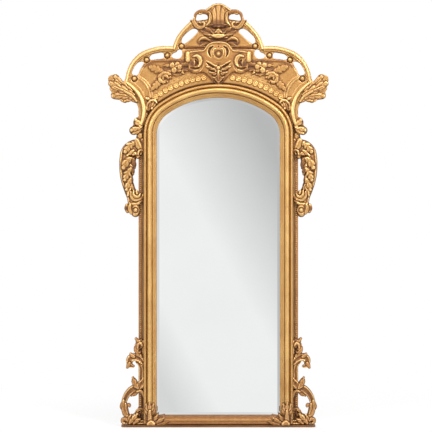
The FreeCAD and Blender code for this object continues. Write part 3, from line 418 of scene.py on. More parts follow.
# Hollows and ridges: how far round a cell its neighbours count, how deep a full one is, and its share of dirt
NEAR_REACH = 4.0
NEAR_DEPTH = 2.5
NEAR_DIRT = 0.36
WIDE_REACH = 11.0
WIDE_DEPTH = 7.0
WIDE_DIRT = 0.55
RIDGE_RISE = 2.0


def soften(relief):
    within = relief.inside > 0
    soft = blur(relief.height, within, SOFTNESS)
    relief.height = np.where(within, relief.height + SOFT_SHARE * (soft - relief.height), 0)
    relief.height = np.maximum(relief.height, np.clip(relief.inside, 0, LIP))


def weathering_and_painted_light(relief, glaze):
    """Shares of dirt and of rubbed gold on a height map; the dirt also holds painted shade, and the rubbed
    gold takes a painted highlight.
    """
    within = relief.inside > 0
    near = blur(relief.height, within, NEAR_REACH)
    wide = blur(relief.height, within, WIDE_REACH)
    hollow = NEAR_DIRT * share_of(near - relief.height, NEAR_DEPTH)
    hollow = hollow + WIDE_DIRT * share_of(wide - relief.height, WIDE_DEPTH)
    ridge = share_of(relief.height - near, RIDGE_RISE)
    return np.clip(glaze * (1 - ridge) + hollow + relief.dirt, 0, 1), ridge


def carve(name, relief, base, back, material, nodes, side=1, glaze=0.0):
    """A closed mesh of a height map that stands forward of a base level, with its back on another level."""
    soften(relief)
    recess, ridge = weathering_and_painted_light(relief, glaze)
    faces, rims = cell_faces(relief.inside)
    used = np.unique(np.concatenate(faces))
    count = len(used)
    order = np.zeros(3 * relief.x.size, int)
    order[used] = np.arange(count)
    maps = (relief.x, relief.z, recess, ridge)
    x, z, recess, ridge = (with_outline(relief, values)[used] for values in maps)
    rim_height = np.minimum(relief.height, LIP).ravel()
    height = np.concatenate([relief.height.ravel(), rim_height, rim_height])[used]
    depth = back(np.abs(x)) if callable(back) else np.full(count, back)
    front = np.stack([side * x, base - height, z], -1)
    rear = np.stack([side * x, depth, z], -1)
    edge = order[np.unique(rims)]
    shoulder = np.zeros(count, int)
    shoulder[edge] = 2 * count + np.arange(len(edge))
    middle = front[edge] + [0, SHOULDER, 0]
    middle[:, 1] = np.minimum(middle[:, 1], rear[edge][:, 1])
    fronts = [order[face][::side].tolist() for face in faces]
    backs = [[point + count for point in face[::-1]] for face in fronts]
    walls = []
    for rim in rims:
        first, second = order[rim][::side]
        walls.append([second, first, shoulder[first], shoulder[second]])
        walls.append([shoulder[second], shoulder[first], first + count, second + count])
    marks = {}
    for key, values in (("recess", recess), ("ridge", ridge)):
        marks[key] = np.concatenate([values, np.zeros(count), values[edge]])
    flat = np.arange(len(fronts), len(fronts) + len(backs))
    piece = link_piece(name, np.vstack([front, rear, middle]), fronts + backs + walls, marks, flat)
    gild(piece, material, nodes)


def sheet_faces(rows, columns, start=0):
    """Quads between neighbouring rows of points that close on themselves."""
    faces = []
    for row in range(rows - 1):
        for column in range(columns):
            here = start + row * columns + column
            beside = start + row * columns + (column + 1) % columns
            faces.append([here, beside, beside + columns, here + columns])
    return faces


def loft(name, sections, marks, material, nodes, flip=False):
    """A closed mesh through rows of points, each a closed section, with caps that have their own points."""
    rows, columns, _ = sections.shape
    caps = np.arange(rows * columns, (rows + 2) * columns).reshape(2, columns)
    faces = sheet_faces(rows, columns) + [caps[0, ::-1].tolist(), caps[1].tolist()]
    if flip:
        faces = [face[::-1] for face in faces]
    vertices = np.vstack([*sections, sections[0], sections[-1]])
    values = {key: np.tile(row, rows + 2) for key, row in marks.items()}
    gild(link_piece(name, vertices, faces, values, [-2, -1]), material, nodes)


# A stud's dirt at its foot, and the shares of its height where it is clean and where it is rubbed and takes a
# painted highlight
STUD_DIRT = 0.5
STUD_CLEAN = 0.7
STUD_RUB_AND_HIGHLIGHT = 0.8


def studs(name, section, places, material, nodes, segments, glaze=0.0):
    """Turned studs that face forward; the section gives radius and height from the rim to the top."""
    section = np.array(section, float)
    angles = np.arange(segments) * 2 * np.pi / segments
    x = np.outer(section[:, 0], np.cos(angles))
    y = np.repeat(-section[:, 1:], segments, 1)
    z = np.outer(section[:, 0], np.sin(angles))
    rings = np.stack([x, y, z], -1).reshape(-1, 3)
    count = len(rings)
    vertices = []
    faces = []
    for index, place in enumerate(places):
        vertices.append(rings + place)
        start = index * count
        faces += sheet_faces(len(section), segments, start)
        faces.append(list(range(start, start + segments))[::-1])
        faces.append(list(range(start + count - segments, start + count)))
    rise = np.repeat(section[:, 1], segments) / section[:, 1].max()
    recess = np.clip(glaze + STUD_DIRT * (1 - rise / STUD_CLEAN), glaze, 1)
    ridge = np.clip(rise - STUD_RUB_AND_HIGHLIGHT, 0, 1)
    marks = {"recess": np.tile(recess, len(places)), "ridge": np.tile(ridge, len(places))}
    gild(link_piece(name, np.vstack(vertices), faces, marks, []), material, nodes)


# Materials


def linear(red, green, blue):
    """A colour of the screen, from 0 to 255, as the linear colour that nodes take."""
    channels = [c / 255 for c in (red, green, blue)]
    return tuple(c / 12.92 if c < 0.04045 else ((c + 0.055) / 1.055) ** 2.4 for c in channels) + (1.0,)


class Nodes:
    """A node tree, with short ways to add to it."""

    def __init__(self, tree):
        self.tree = tree

    def add(self, kind, inputs=(), **settings):
        node = self.tree.nodes.new(kind)
        for key, value in settings.items():
            setattr(node, key, value)
        for key, value in dict(inputs).items():
            self.put(node.inputs[key], value)
        return node

    def put(self, socket, value):
        if isinstance(value, bpy.types.NodeSocket):
            self.tree.links.new(value, socket)
        else:
            socket.default_value = value

    def ramp(self, value, low, high, to_low=0.0, to_high=1.0):
        limits = {"From Min": low, "From Max": high, "To Min": to_low, "To Max": to_high}
        return self.add("ShaderNodeMapRange", {"Value": value, **limits}).outputs["Result"]

    def math(self, operation, first, second, clamp=True):
        values = {0: first, 1: second}
        return self.add("ShaderNodeMath", values, operation=operation, use_clamp=clamp).outputs[0]

    def background_rays(self):
        """1 for rays that show the background: from the camera, in gloss and through glass."""
        path = self.add("ShaderNodeLightPath").outputs
        total = path["Is Camera Ray"]
        for key in ("Is Glossy Ray", "Is Transmission Ray"):
            total = self.math("MAXIMUM", total, path[key])
        return total


class Shading(Nodes):
    """A material's node tree."""

    def __init__(self, name):
        self.material = bpy.data.materials.new(name)
        self.material.use_nodes = True
        super().__init__(self.material.node_tree)
        self.shader = self.tree.nodes["Principled BSDF"]
        coordinates = self.add("ShaderNodeTexCoord").outputs
        self.place = coordinates["Object"]
        self.normal = coordinates["Normal"]

    def set(self, **inputs):
        for key, value in inputs.items():
            self.put(self.shader.inputs[key.replace("_", " ").title()], value)

    def show(self, surface):
        """Let another shader than the principled one be the surface."""
        self.put(self.tree.nodes["Material Output"].inputs["Surface"], surface.outputs[0])

    def noise(self, scale, detail=4.0, roughness=0.55, place=None):
        values = {"Vector": place or self.place, "Scale": scale, "Detail": detail, "Roughness": roughness}
        return self.add("ShaderNodeTexNoise", values).outputs["Fac"]

    def stretched(self, x, y, z):
        return self.add("ShaderNodeMapping", {"Vector": self.place, "Scale": (x, y, z)}).outputs["Vector"]

    def scaled(self, value, share):
        return self.math("MULTIPLY", value, share)

    def weighed(self, first, second, share):
        """The first value with a share of the second in it."""
        return self.math("ADD", self.scaled(first, 1 - share), self.scaled(second, share))

    def mix(self, share, first, second):
        node = self.add("ShaderNodeMix", data_type="RGBA")
        self.put(node.inputs["Factor"], share)
        self.put(node.inputs[6], first)
        self.put(node.inputs[7], second)
        return node.outputs[2]

    def mark(self, key):
        return self.add("ShaderNodeAttribute", attribute_name=key).outputs["Fac"]

    def bump(self, height, strength, distance):
        node = self.add("ShaderNodeBump", {"Height": height, "Strength": strength, "Distance": distance})
        self.put(self.shader.inputs["Normal"], node.outputs["Normal"])


BARE_WOOD_LIGHT = linear(176, 139, 96)
BARE_WOOD_DARK = linear(126, 92, 58)
GOLD_LIGHT = linear(233, 190, 118)
GOLD_DEEP = linear(199, 150, 83)
PALE_GOLD = linear(240, 200, 128), linear(214, 164, 92)
# A darker copy of the gold, for the corner carving and the bead strips
DARKER_GOLD = linear(222, 168, 108), linear(176, 122, 72)
# A shaded copy of the gold for the ring scrolls: painted shade
SHADED_GOLD = linear(148, 114, 82), linear(106, 80, 58)
# A shaded copy of the gold for the plinth: painted shade at the foot
PLINTH_SHADED_GOLD = linear(150, 104, 62), linear(112, 74, 42)
BOLE = linear(150, 86, 46)
GLAZE = linear(150, 99, 44)
UMBER = linear(84, 47, 19)
# Burnished gold on the ridges, partly a painted highlight
BURNISH_AND_HIGHLIGHT = linear(248, 214, 150)


def wood_colour(shading):
    """Straight upright grain with broad streaks."""
    streaks = shading.noise(9.0, detail=6.0, roughness=0.6, place=shading.stretched(9.0, 9.0, 0.6))
    fibres = shading.noise(60.0, detail=3.0, roughness=0.6, place=shading.stretched(6.0, 6.0, 0.25))
    share = shading.ramp(shading.weighed(streaks, fibres, 0.3), 0.35, 0.65)
    return shading.mix(share, BARE_WOOD_DARK, BARE_WOOD_LIGHT), share


def gilding(name, gold_light=GOLD_LIGHT, gold_deep=GOLD_DEEP):
    """Worn gold leaf over red bole: umber in the recesses and in painted shade, a painted highlight and bole
    on rubbed ridges, bare wood on the back.
    """
    shading = Shading(name)
    recess = shading.mark("recess")
    ridge = shading.mark("ridge")
    cloud = shading.noise(7.0, detail=5.0, roughness=0.6)
    mottle = shading.noise(70.0, detail=4.0, roughness=0.65)
    flake = shading.noise(34.0, detail=7.0, roughness=0.72)
    gold = shading.mix(shading.ramp(cloud, 0.32, 0.68), gold_deep, gold_light)
    gold = shading.mix(shading.ramp(mottle, 0.5, 0.78, to_high=0.35), gold, gold_deep)
    # Ridges turn toward burnished gold: partly burnishing, partly a painted highlight
    gold = shading.mix(shading.scaled(ridge, 0.7), gold, BURNISH_AND_HIGHLIGHT)
    worn = shading.math("ADD", shading.scaled(ridge, 0.3), 0.2)
    rub = shading.scaled(shading.ramp(flake, 0.58, 0.68), worn)
    gold = shading.mix(rub, gold, BOLE)
    patchy = shading.ramp(mottle, 0.2, 0.6, to_low=0.72)
    # The recess mark holds glaze, dirt and painted shade, and turns the gold toward glaze and umber
    dirt_and_shade = shading.scaled(shading.ramp(recess, 0.04, 1.0), patchy)
    gold = shading.mix(shading.ramp(dirt_and_shade, 0.0, 0.6), gold, GLAZE)
    gold = shading.mix(shading.ramp(dirt_and_shade, 0.55, 1.0), gold, UMBER)
    backward = shading.add("ShaderNodeSeparateXYZ", {0: shading.normal}).outputs["Y"]
    bare = shading.ramp(backward, 0.55, 0.7)
    wood, _ = wood_colour(shading)
    dull = shading.math("MAXIMUM", shading.scaled(dirt_and_shade, 0.85), shading.math("MAXIMUM", bare, rub))
    rough = shading.ramp(mottle, 0.25, 0.75, to_low=0.3, to_high=0.44)
    shading.set(
        base_color=shading.mix(bare, gold, wood),
        metallic=shading.ramp(dull, 0.0, 1.0, to_low=0.6, to_high=0.0),
        roughness=shading.math("ADD", rough, shading.scaled(dull, 0.3)),
    )
    shading.bump(shading.weighed(mottle, flake, 0.4), strength=0.35, distance=0.0012)
    return shading.material


def bare_wood():
    shading = Shading("bare_wood")
    colour, share = wood_colour(shading)
    shading.set(base_color=colour, roughness=shading.ramp(share, 0.0, 1.0, to_low=0.8, to_high=0.62))
    shading.bump(share, strength=0.3, distance=0.0006)
    return shading.material


def silvered_glass():
    """Silvered glass with a faint haze and a few dull specks."""
    shading = Shading("silvered_glass")
    haze = shading.noise(2.5, detail=3.0)
    specks = shading.ramp(shading.noise(150.0, detail=2.0), 0.76, 0.8)
    rough = shading.ramp(haze, 0.3, 0.7, to_low=0.012, to_high=0.028)
    shading.set(
        base_color=shading.mix(haze, linear(240, 241, 241), linear(248, 249, 249)),
        metallic=1.0,
        roughness=shading.math("ADD", rough, shading.scaled(specks, 0.05)),
    )
    return shading.material


def worked_metal(name, light, dark, scale, roughness):
    """Drawn or cast metal with fine streaks and dull patches."""
    shading = Shading(name)
    streaks = shading.noise(scale, detail=4.0, roughness=0.6, place=shading.stretched(1.0, 1.0, 0.08))
    patches = shading.noise(120.0, detail=4.0, roughness=0.6)
    shading.set(
        base_color=shading.mix(shading.ramp(patches, 0.35, 0.7), light, dark),
        metallic=1.0,
        roughness=shading.ramp(streaks, 0.3, 0.7, to_low=roughness, to_high=roughness + 0.18),
    )
    shading.bump(streaks, strength=0.2, distance=0.0002)
    return shading.material


def felt():
    shading = Shading("felt")
    fibres = shading.noise(900.0, detail=5.0, roughness=0.7)
    shading.set(base_color=shading.mix(fibres, linear(52, 46, 42), linear(92, 84, 76)), roughness=0.95)
    shading.bump(fibres, strength=0.8, distance=0.0008)
    return shading.material


# Mouldings of the sight edge: shares across from the sight line, and depth forward of the boards
MOULDING_SECTION = [
    (0, 6), (0.015, 8), (0.06, 9), (0.12, 12.5), (0.18, 18), (0.23, 22), (0.265, 23.6), (0.285, 22.6),
    (0.3, 20.4), (0.315, 20.4), (0.335, 22.6), (0.345, 29), (0.37, 35), (0.41, 40.6), (0.46, 44.6),
    (0.52, 46), (0.58, 44.6), (0.63, 40.6), (0.67, 34.6), (0.69, 29), (0.7, 23), (0.715, 20.6),
    (0.73, 22.6), (0.745, 28), (0.775, 32.4), (0.815, 35.2), (0.855, 36), (0.895, 35), (0.935, 31.6),
    (0.965, 26.6), (0.98, 21), (0.985, 14), (0.985, 0), (0, 0),
]
FOOT_SECTION = [
    (0, 6), (0.02, 9), (0.08, 14), (0.17, 21), (0.27, 26.5), (0.37, 30.5), (0.46, 33), (0.53, 33.5),
    (0.59, 32), (0.64, 30.4), (0.68, 31), (0.73, 33), (0.8, 35.2), (0.87, 36), (0.93, 35), (0.97, 31),
    (0.985, 24), (0.985, 0), (0, 0),
]

# Darkening at shares across a moulding, and the places of its grooves, which take dirt, and of its ridges,
# which are rubbed and take a painted highlight
MOULDING_TONES = [
    (0, 0.3), (0.27, 0.24), (0.34, 0.12), (0.5, 0), (0.64, 0.1), (0.72, 0.3), (0.86, 0.22), (1, 0.6),
]
MOULDING_GROOVES = (0.307, 0.715, 1.0)
GROOVE_SPREAD = 0.022
GROOVE_DIRT = 0.6
MOULDING_RIDGES = (0.26, 0.52, 0.855)
RIDGE_SPREAD = 0.04
RIDGE_RUB_AND_HIGHLIGHT = 0.4
FOOT_GLAZE = 0.5

# Rows of points along each length of moulding
UPRIGHT_ROWS = 120
FOOT_ROWS = 60
HAUNCH_ROWS = 24
CROWN_ROWS = 72


def near_any(values, middles, width):
    return np.clip(sum(bell(values - middle, width) for middle in middles), 0, 1)


def moulding(name, place, rows, material, flip=False, section=MOULDING_SECTION, glaze=0.0, dirt=GROOVE_DIRT):
    """A length of moulding, where place gives X and Z for a share along it and a share across it."""
    across, depth = np.transpose(section)
    sections = []
    for share in np.linspace(0, 1, rows):
        x, z = place(share, across)
        sections.append(np.stack([x, BOARD_FRONT - depth, z], -1))
    tone = glaze + np.interp(across, *np.transpose(MOULDING_TONES))
    marks = {
        "recess": np.clip(tone + dirt * near_any(across, MOULDING_GROOVES, GROOVE_SPREAD), 0, 1),
        "ridge": RIDGE_RUB_AND_HIGHLIGHT * near_any(across, MOULDING_RIDGES, RIDGE_SPREAD),
    }
    loft(name + "_gilt", np.array(sections), marks, material, [name], flip)


def mouldings(material):
    def edges(across):
        return SIGHT_HALF + MOULDING_WIDTH * across, SIGHT_FOOT - (SIGHT_FOOT - PLINTH_TOP) * across

    def upright(side):
        def place(share, across):
            half, foot = edges(across)
            return side * half, foot + share * (SPRING - foot)
        return place

    def level(share, across):
        half, foot = edges(across)
        return (2 * share - 1) * half, foot

    def bent(centre, radius, first, last):
        def place(share, across):
            turn = first + share * (last - first)
            reach = radius + MOULDING_WIDTH * across
            return centre[0] + reach * math.cos(turn), centre[1] + reach * math.sin(turn)
        return place

    quarter = math.pi / 2
    crown = bent((0, CROWN_CENTRE), CROWN_RADIUS, quarter - LEAN, quarter + LEAN)
    haunch_right = bent((HAUNCH_X, SPRING), HAUNCH_RADIUS, 0, quarter - LEAN)
    haunch_left = bent((-HAUNCH_X, SPRING), HAUNCH_RADIUS, quarter + LEAN, 2 * quarter)
    moulding("moulding_left", upright(-1), UPRIGHT_ROWS, material, flip=True)
    moulding("moulding_right", upright(1), UPRIGHT_ROWS, material)
    moulding("moulding_foot", level, FOOT_ROWS, material, section=FOOT_SECTION, glaze=FOOT_GLAZE, dirt=0.0)
    moulding("arch_haunch_right", haunch_right, HAUNCH_ROWS, material)
    moulding("arch_crown", crown, CROWN_ROWS, material)
    moulding("arch_haunch_left", haunch_left, HAUNCH_ROWS, material)


# Strips of beads on the margins: places across the strip, and depth forward of the boards
BEAD_MIDDLE = 390.4
BEAD_RADIUS = 4.4
BEAD_TIP = 0.25
BEAD_RINGS = 4
BEAD_SEGMENTS = 10
BEAD_PITCH = 10.4
BEAD_FLOOR = 3.2
BEAD_STRIP_SECTION = [(-8, 0), (-8, 3), (-6.5, 4.6), (-4.6, 3.2), (4.6, 3.2), (6.5, 4.6), (8, 3), (8, 0)]
BEAD_STRIP_RECESS = (0.4, 0.3, 0.0, 0.6, 0.6, 0.0, 0.3, 0.4)
STRIP_TOP = 1490.0
STRIP_ROWS = 60


def bead_strips(material):
    across, depth = np.transpose(BEAD_STRIP_SECTION)
    turns = np.arange(BEAD_RINGS) * np.pi / 2 / BEAD_RINGS
    dome = [(BEAD_RADIUS * math.cos(turn), BEAD_RADIUS * math.sin(turn)) for turn in turns]
    dome.append((BEAD_TIP, BEAD_RADIUS))
    levels = np.arange(PLINTH_TOP + BEAD_PITCH, STRIP_TOP - BEAD_PITCH, BEAD_PITCH)
    for name, side in SIDES.items():
        middle = side * BEAD_MIDDLE
        rows = [
            np.stack([middle + across, BOARD_FRONT - depth, np.full(len(across), z)], -1)
            for z in np.linspace(PLINTH_TOP, STRIP_TOP, STRIP_ROWS)
        ]
        marks = {"recess": BEAD_STRIP_RECESS, "ridge": np.zeros(len(across))}
        nodes = [f"bead_strip_{name}"]
        loft(f"bead_strip_{name}_ground", np.array(rows), marks, material, nodes)
        places = [(middle, BOARD_FRONT - BEAD_FLOOR, z) for z in levels]
        studs(f"bead_strip_{name}_beads", dome, places, material, nodes, BEAD_SEGMENTS)


# Crest board
CREST_WINDOW = (0, 1485), (480, 2121)
CREST_OUTLINE_PX = [
    [(218.35, 128.8)],
    [(134.6, 128.8)],
    [(134.6, 121)],
    [(138.6, 114.8), (138.4, 108.9), (136.1, 102.4)],
    [(127.3, 96.8), (123.9, 86.8)],
    [(125.4, 79), (127.4, 69.8), (132.9, 59.7), (142.1, 51.9), (155.4, 47.3), (166, 46.2), (173.2, 47.4)],
    [(176.6, 38.9), (181.1, 31.6), (187.1, 24.4), (190.4, 20.4)],
    [(193.8, 19.9), (194.4, 15.6), (197, 11.8), (201.4, 9.2), (206.6, 9.8)],
    [(210.4, 7.2), (214, 5)],
    [(218.35, 4.2)],
]
SLOTS_PX = [
    [(131.9, 73.6), (133.1, 68.2), (137.6, 62.4), (142.4, 61.2), (143.2, 63.6), (139.8, 69.6),
     (137.4, 74.6)],
    [(149.4, 57.2), (151.8, 54.2), (157.2, 52.8), (162.4, 52.4), (163.8, 55.2), (162.6, 58), (156.8, 58.8),
     (151, 59.4)],
    [(171.4, 55.1), (173.2, 53), (176.2, 51.6), (178, 49.5), (181.1, 49.6), (182.2, 53.2), (180.6, 57),
     (177.3, 58.4), (172.8, 57.4)],
    [(181.5, 40.2), (182.9, 36.6), (187.9, 31.4), (192.8, 28.4), (196.8, 29.2), (197.3, 32.2),
     (191.9, 37.7), (186, 42.4), (182.6, 42.8)],
    [(196.4, 14.8), (200, 13.4), (205.6, 14), (207.5, 16), (207, 18.6), (202, 19.6), (196.8, 20.1),
     (195.7, 17.9)],
]
PEARLS_PX = [(134.2, 78.4), (146.6, 59.7), (167.2, 55.2), (181.5, 46)]
PEARL_DITCH_PX = 2.5
PEARL_DITCH_HALF_PX = 1.0
PEARL_DITCH_DEPTH = 5.0
BOARD_THICK = 14.0
CREST_GLAZE = 0.38

# Carving on the board, each on its own level below the face of the board
PANEL_EDGES_PX = [
    ([(136.6, 76.8), (142.4, 80.6), (146.8, 86), (149.4, 92), (150.4, 98.5)], (0.9, 1.1, 0.9), 5),
    ([(139, 76.2), (144.8, 80), (149.2, 85.4), (151.6, 91.6), (152.4, 97.6)], (0.9, 1.1, 0.9), 5),
    ([(138.6, 75.6), (142, 69.6), (145.6, 64.4), (151.2, 61.2), (157.6, 60.4), (168, 60.2), (180, 60.4)],
     (0.7, 0.8), 3.5),
    ([(134, 83), (139, 87.4), (143, 93.6), (145.4, 100)], (0.6, 0.8, 0.6), 3),
]
PANEL_EDGES_BASE = BOARD_THICK - 1.0
UPPER_STROKES_PX = [
    ([(218.35, 33.2), (218.35, 30.6)], (2.6, 1.2), 10),
    ([(213.2, 33.6), (215.6, 31.4), (218.35, 28.9)], (0.9, 1.2, 1.4), 15),
    ([(198, 32.6), (192.6, 38.2), (186.6, 43.8)], (0.7, 0.9, 0.7), 4),
    ([(189.4, 46), (195, 45), (198.4, 45.6)], (0.8, 1.2, 0.8), 3),
    ([(193.6, 20.8), (191.6, 19.6), (190.8, 18.8)], (1.4, 1.7, 1.4), 10),
    ([(198.2, 11.4), (199.7, 13.3), (202, 12.8)], (0.9, 1.2, 0.7), 8),
]
UPPER_STROKES_BASE = BOARD_THICK - 2.0
UPPER_LEAVES_PX = [
    ([(211, 35), (206, 33.2), (201, 30.6)], (1.2, 2.2, 1.1), 8, 1),
    ([(212.4, 33), (208.6, 29.8), (205, 26.8)], (1.2, 2.4, 1.2), 10, 1),
    ([(207.2, 11), (209.8, 13.4), (210.5, 18), (209.3, 22.2), (206.4, 25.2)],
     (1, 1.5, 1.7, 1.5, 0.8), 14, 0),
    ([(193.4, 17.6), (193.8, 21.6), (196.6, 25.8), (200.6, 27.6), (204, 25.8), (204.2, 22.6), (201.8, 21.8)],
     (1.5, 2, 2.1, 1.8, 1.4, 1.1, 0.7), 13, 0),
    ([(208.8, 42.8), (204.8, 43.4), (200.4, 45.6)], (0.8, 1.6, 0.6), 8, 1),
    ([(210.8, 41.4), (206.6, 38.5), (202.4, 38.1), (199.3, 40.2), (198.9, 43.2)],
     (0.8, 1.6, 1.6, 1.2, 0.5), 12, 0),
    ([(211.6, 35), (214.8, 35.7), (218.35, 36)], (0.9, 2, 2.4), 19, 0),
]
HAUNCH_LEAVES_PX = [
    ([(148.8, 109), (146.4, 114), (145.2, 119.6), (144.6, 126)], (0.9, 1.3, 1.1, 0.7), 5, 0),
    ([(149.8, 100.8), (148, 98.8), (146, 98)], (1, 1.6, 1.1), 12, 0),
    ([(150.8, 108.4), (153.4, 106), (155.4, 103.6)], (1, 1.7, 1.3), 9, 0),
    ([(149.4, 109.2), (151.2, 105.6), (153, 102.6)], (1, 1.7, 1.3), 11, 0),
    ([(148.2, 110), (149, 106.2), (150.4, 102.8)], (1, 1.6, 1.3), 12, 0),
    ([(147, 111.4), (146.8, 106.8), (148.2, 102.8), (151.2, 100.3), (154.6, 100.4), (157, 103)],
     (0.8, 1.3, 1.5, 1.7, 1.6, 1.1), 18, 3),
    ([(152, 108.4)], (1.4,), 14, 0),
]
LEAVES_BASE = BOARD_THICK - 4.0
UPPER_GROOVES_PX = [
    ([(211, 26.6), (214.4, 27.8), (218.35, 27.6)], (0.6, 1.3, 1.4), 9),
    ([(206.6, 37), (210.4, 38.7), (214.4, 39.3), (218.35, 39.4)], (0.5, 0.9, 1.1, 1.1), 9),
    ([(203.8, 34.9), (206.8, 35.8), (209.6, 36.2)], (0.5, 1, 0.6), 7),
    ([(201.4, 41.1), (203.8, 40.4), (206.8, 40.8)], (0.5, 1, 0.5), 8),
    ([(184.2, 48.4), (194, 48.2), (204.2, 47.6)], (0.8, 1.1, 0.8), 6),
    ([(196.4, 21), (201, 20.6), (207.4, 19.8)], (0.4, 0.7, 0.5), 8),
    ([(198.4, 22.6), (199.8, 24), (201.6, 24.2)], (0.7, 1, 0.6), 9),
    ([(206.4, 31.2), (209.4, 31.6), (212.6, 34.2)], (0.4, 0.9, 0.5), 7),
    ([(214.2, 33.4), (214.8, 31), (217, 30)], (0.4, 0.8, 0.5), 6),
]
HAUNCH_GROOVES_PX = [
    ([(147.6, 101.4), (148.6, 100.6)], (0.8, 0.7), 6),
    ([(150.4, 98.4), (151.6, 98.8)], (0.8, 0.7), 6),
    ([(146.4, 110.8), (148.6, 114), (147.6, 120), (146.4, 127)], (0.9, 1.6, 1.6, 1.4), 6),
]
# Painted shade on the board, in its hollows and under and beside the carving on it
UPPER_SHADES_PX = [
    ([(202, 30), (207, 31), (212, 30)], (4.6, 5, 3.6), 0.56),
    ([(212, 27.2), (218.35, 26.4)], (2.6, 2.2), 0.5),
    ([(200, 42), (205, 41), (212, 40.4), (218.35, 40.4)], (4.4, 4.8, 3.6, 2.8), 0.62),
    ([(193.6, 19), (197, 25), (204, 25)], (3, 4, 4), 0.28),
    ([(197, 11), (203, 10)], (2.6,), 0.4),
    ([(144, 66), (152, 61.6), (168, 60.8), (184, 61.4)], (2.2, 2.4, 2.6, 3), 0.4),
    ([(183, 47), (203, 47.6)], (2.6, 2.2), 0.5),
    ([(148, 104), (147.6, 116), (146.4, 127)], (3.4, 3, 2.6), 0.4),
]

# Punched ground: its limits from the moulding and from the middle, and how it eases in and out there
STIPPLE_SEED = 4
STIPPLE_REACH = 2.4
STIPPLE_MIDDLE = 0.5
STIPPLE_CONTRAST = 6.0
STIPPLE_DEPTH = 1.6
STIPPLE_DIRT = 0.4
STIPPLE_SHEEN = 0.16
STIPPLE_NEAR = 46.0
STIPPLE_NEAR_EASE = 10.0
STIPPLE_FAR = 160.0
STIPPLE_FAR_EASE = 30.0
STIPPLE_SIDE = 330.0
STIPPLE_SIDE_EASE = 20.0
ARCH_GROOVE = 6.5
ARCH_GROOVE_DEPTH = 6.0

# Band of coins along the arch, and the painted shade round them
COIN_REACH = 541.0
COIN_FIRST = math.radians(7.7)
COIN_STEP = math.radians(3.07)
COINS_PER_SIDE = 10
COIN_DITCH = 13.6
COIN_DITCH_WIDTH = 4.0
COIN_DITCH_SHADE = 0.2

# Painted shadow round an ornament on the board
SHADOW_REACH = 7.0
SHADOW_MOST = 0.4


def arch_distance(u, z):
    """Distance outward from the sight line, above the foot of the frame."""
    crown = (z > CROWN_CENTRE) & (u < (z - CROWN_CENTRE) * math.tan(LEAN))
    haunch = np.hypot(u - HAUNCH_X, z - SPRING) - HAUNCH_RADIUS
    over = np.where(crown, np.hypot(u, z - CROWN_CENTRE) - CROWN_RADIUS, haunch)
    return np.where(z > SPRING, over, u - SIGHT_HALF)


def coin_places():
    """Middles of the coins on one side, outward and up."""
    turns = COIN_FIRST + COIN_STEP * np.arange(COINS_PER_SIDE)
    return np.stack([COIN_REACH * np.sin(turns), CROWN_CENTRE + COIN_REACH * np.cos(turns)], -1)


def stipple(relief, beyond):
    """The punched ground: how strongly each cell is punched, and its pits from -1 to 1."""
    scatter = np.random.default_rng(STIPPLE_SEED).random(relief.u.shape)
    pits = blur(scatter, np.ones(scatter.shape, bool), STIPPLE_REACH) - STIPPLE_MIDDLE
    pits = np.clip(pits * STIPPLE_CONTRAST, -1, 1)
    strength = share_of(beyond - STIPPLE_NEAR, STIPPLE_NEAR_EASE)
    strength = strength * share_of(STIPPLE_FAR - beyond, STIPPLE_FAR_EASE)
    strength = strength * share_of(STIPPLE_SIDE - relief.u, STIPPLE_SIDE_EASE)
    return strength, np.maximum(pits, pits[:, ::-1])


def shadow_of(relief, ornaments):
    """Painted shadow on a ground round the ornaments that stand on it."""
    shade = np.zeros(relief.u.shape)
    for ornament in ornaments:
        rows = np.arange(ornament.x.shape[0]) + ornament.start[1] - relief.start[1]
        for side in (1,) if ornament.mirrored else (-1, 1):
            columns = side * (np.arange(ornament.x.shape[1]) + ornament.start[0]) - relief.start[0]
            row, column = np.meshgrid(rows, columns, indexing="ij")
            fits = (row >= 0) & (row < shade.shape[0]) & (column >= 0) & (column < shade.shape[1])
            place = row[fits], column[fits]
            shade[place] = np.maximum(shade[place], (ornament.inside > 0)[fits])
    return np.clip(blur(shade, np.ones(shade.shape, bool), SHADOW_REACH), 0, SHADOW_MOST)


def crest_board(material, ornaments):
    """The pierced board with its ribs, punched ground and carved upper part."""
    relief = Relief(*CREST_WINDOW, mirrored=True)
    beyond = arch_distance(relief.u, relief.z) - MOULDING_WIDTH
    board = np.minimum(relief.within(spans_outline(CREST_OUTLINE_PX)), beyond)
    for slot in SLOTS_PX:
        board = np.minimum(board, -relief.within(smooth_loop(slot)))
    strength, pits = stipple(relief, beyond)
    edge = bell(beyond, ARCH_GROOVE)
    relief.add(WHOLE_MAP, board, BOARD_THICK - ARCH_GROOVE_DEPTH * edge + STIPPLE_DEPTH * strength * pits)
    relief.dirt = np.maximum(edge, strength * (STIPPLE_DIRT * np.clip(-pits, 0, 1) - STIPPLE_SHEEN))
    relief.strokes(UPPER_STROKES_PX, base=UPPER_STROKES_BASE)
    relief.leaves(UPPER_LEAVES_PX + HAUNCH_LEAVES_PX, LEAVES_BASE)
    relief.strokes(PANEL_EDGES_PX, base=PANEL_EDGES_BASE)
    relief.grooves(UPPER_GROOVES_PX + HAUNCH_GROOVES_PX)
    relief.painted_shades(UPPER_SHADES_PX)
    for centre in PEARLS_PX:
        relief.groove(circle_px(centre, PEARL_DITCH_PX), PEARL_DITCH_HALF_PX, PEARL_DITCH_DEPTH)
    # A ring of painted shade round the foot of each coin
    for u, z in coin_places():
        ditch = np.hypot(relief.u - u, relief.z - z) - COIN_DITCH
        relief.dirt = np.maximum(relief.dirt, COIN_DITCH_SHADE * bell(ditch, COIN_DITCH_WIDTH))
    relief.inside = np.where(board > -PIXEL, np.maximum(board, relief.inside), -PIXEL)
    relief.trim(beyond)
    # The ornaments' painted shadow goes in with the board's dirt
    relief.dirt = np.clip(relief.dirt + shadow_of(relief, ornaments), 0, 1)
    carve("crest_panel", relief, BOARD_FRONT, BOARD_FRONT, material, ["crest_board"], glaze=CREST_GLAZE)


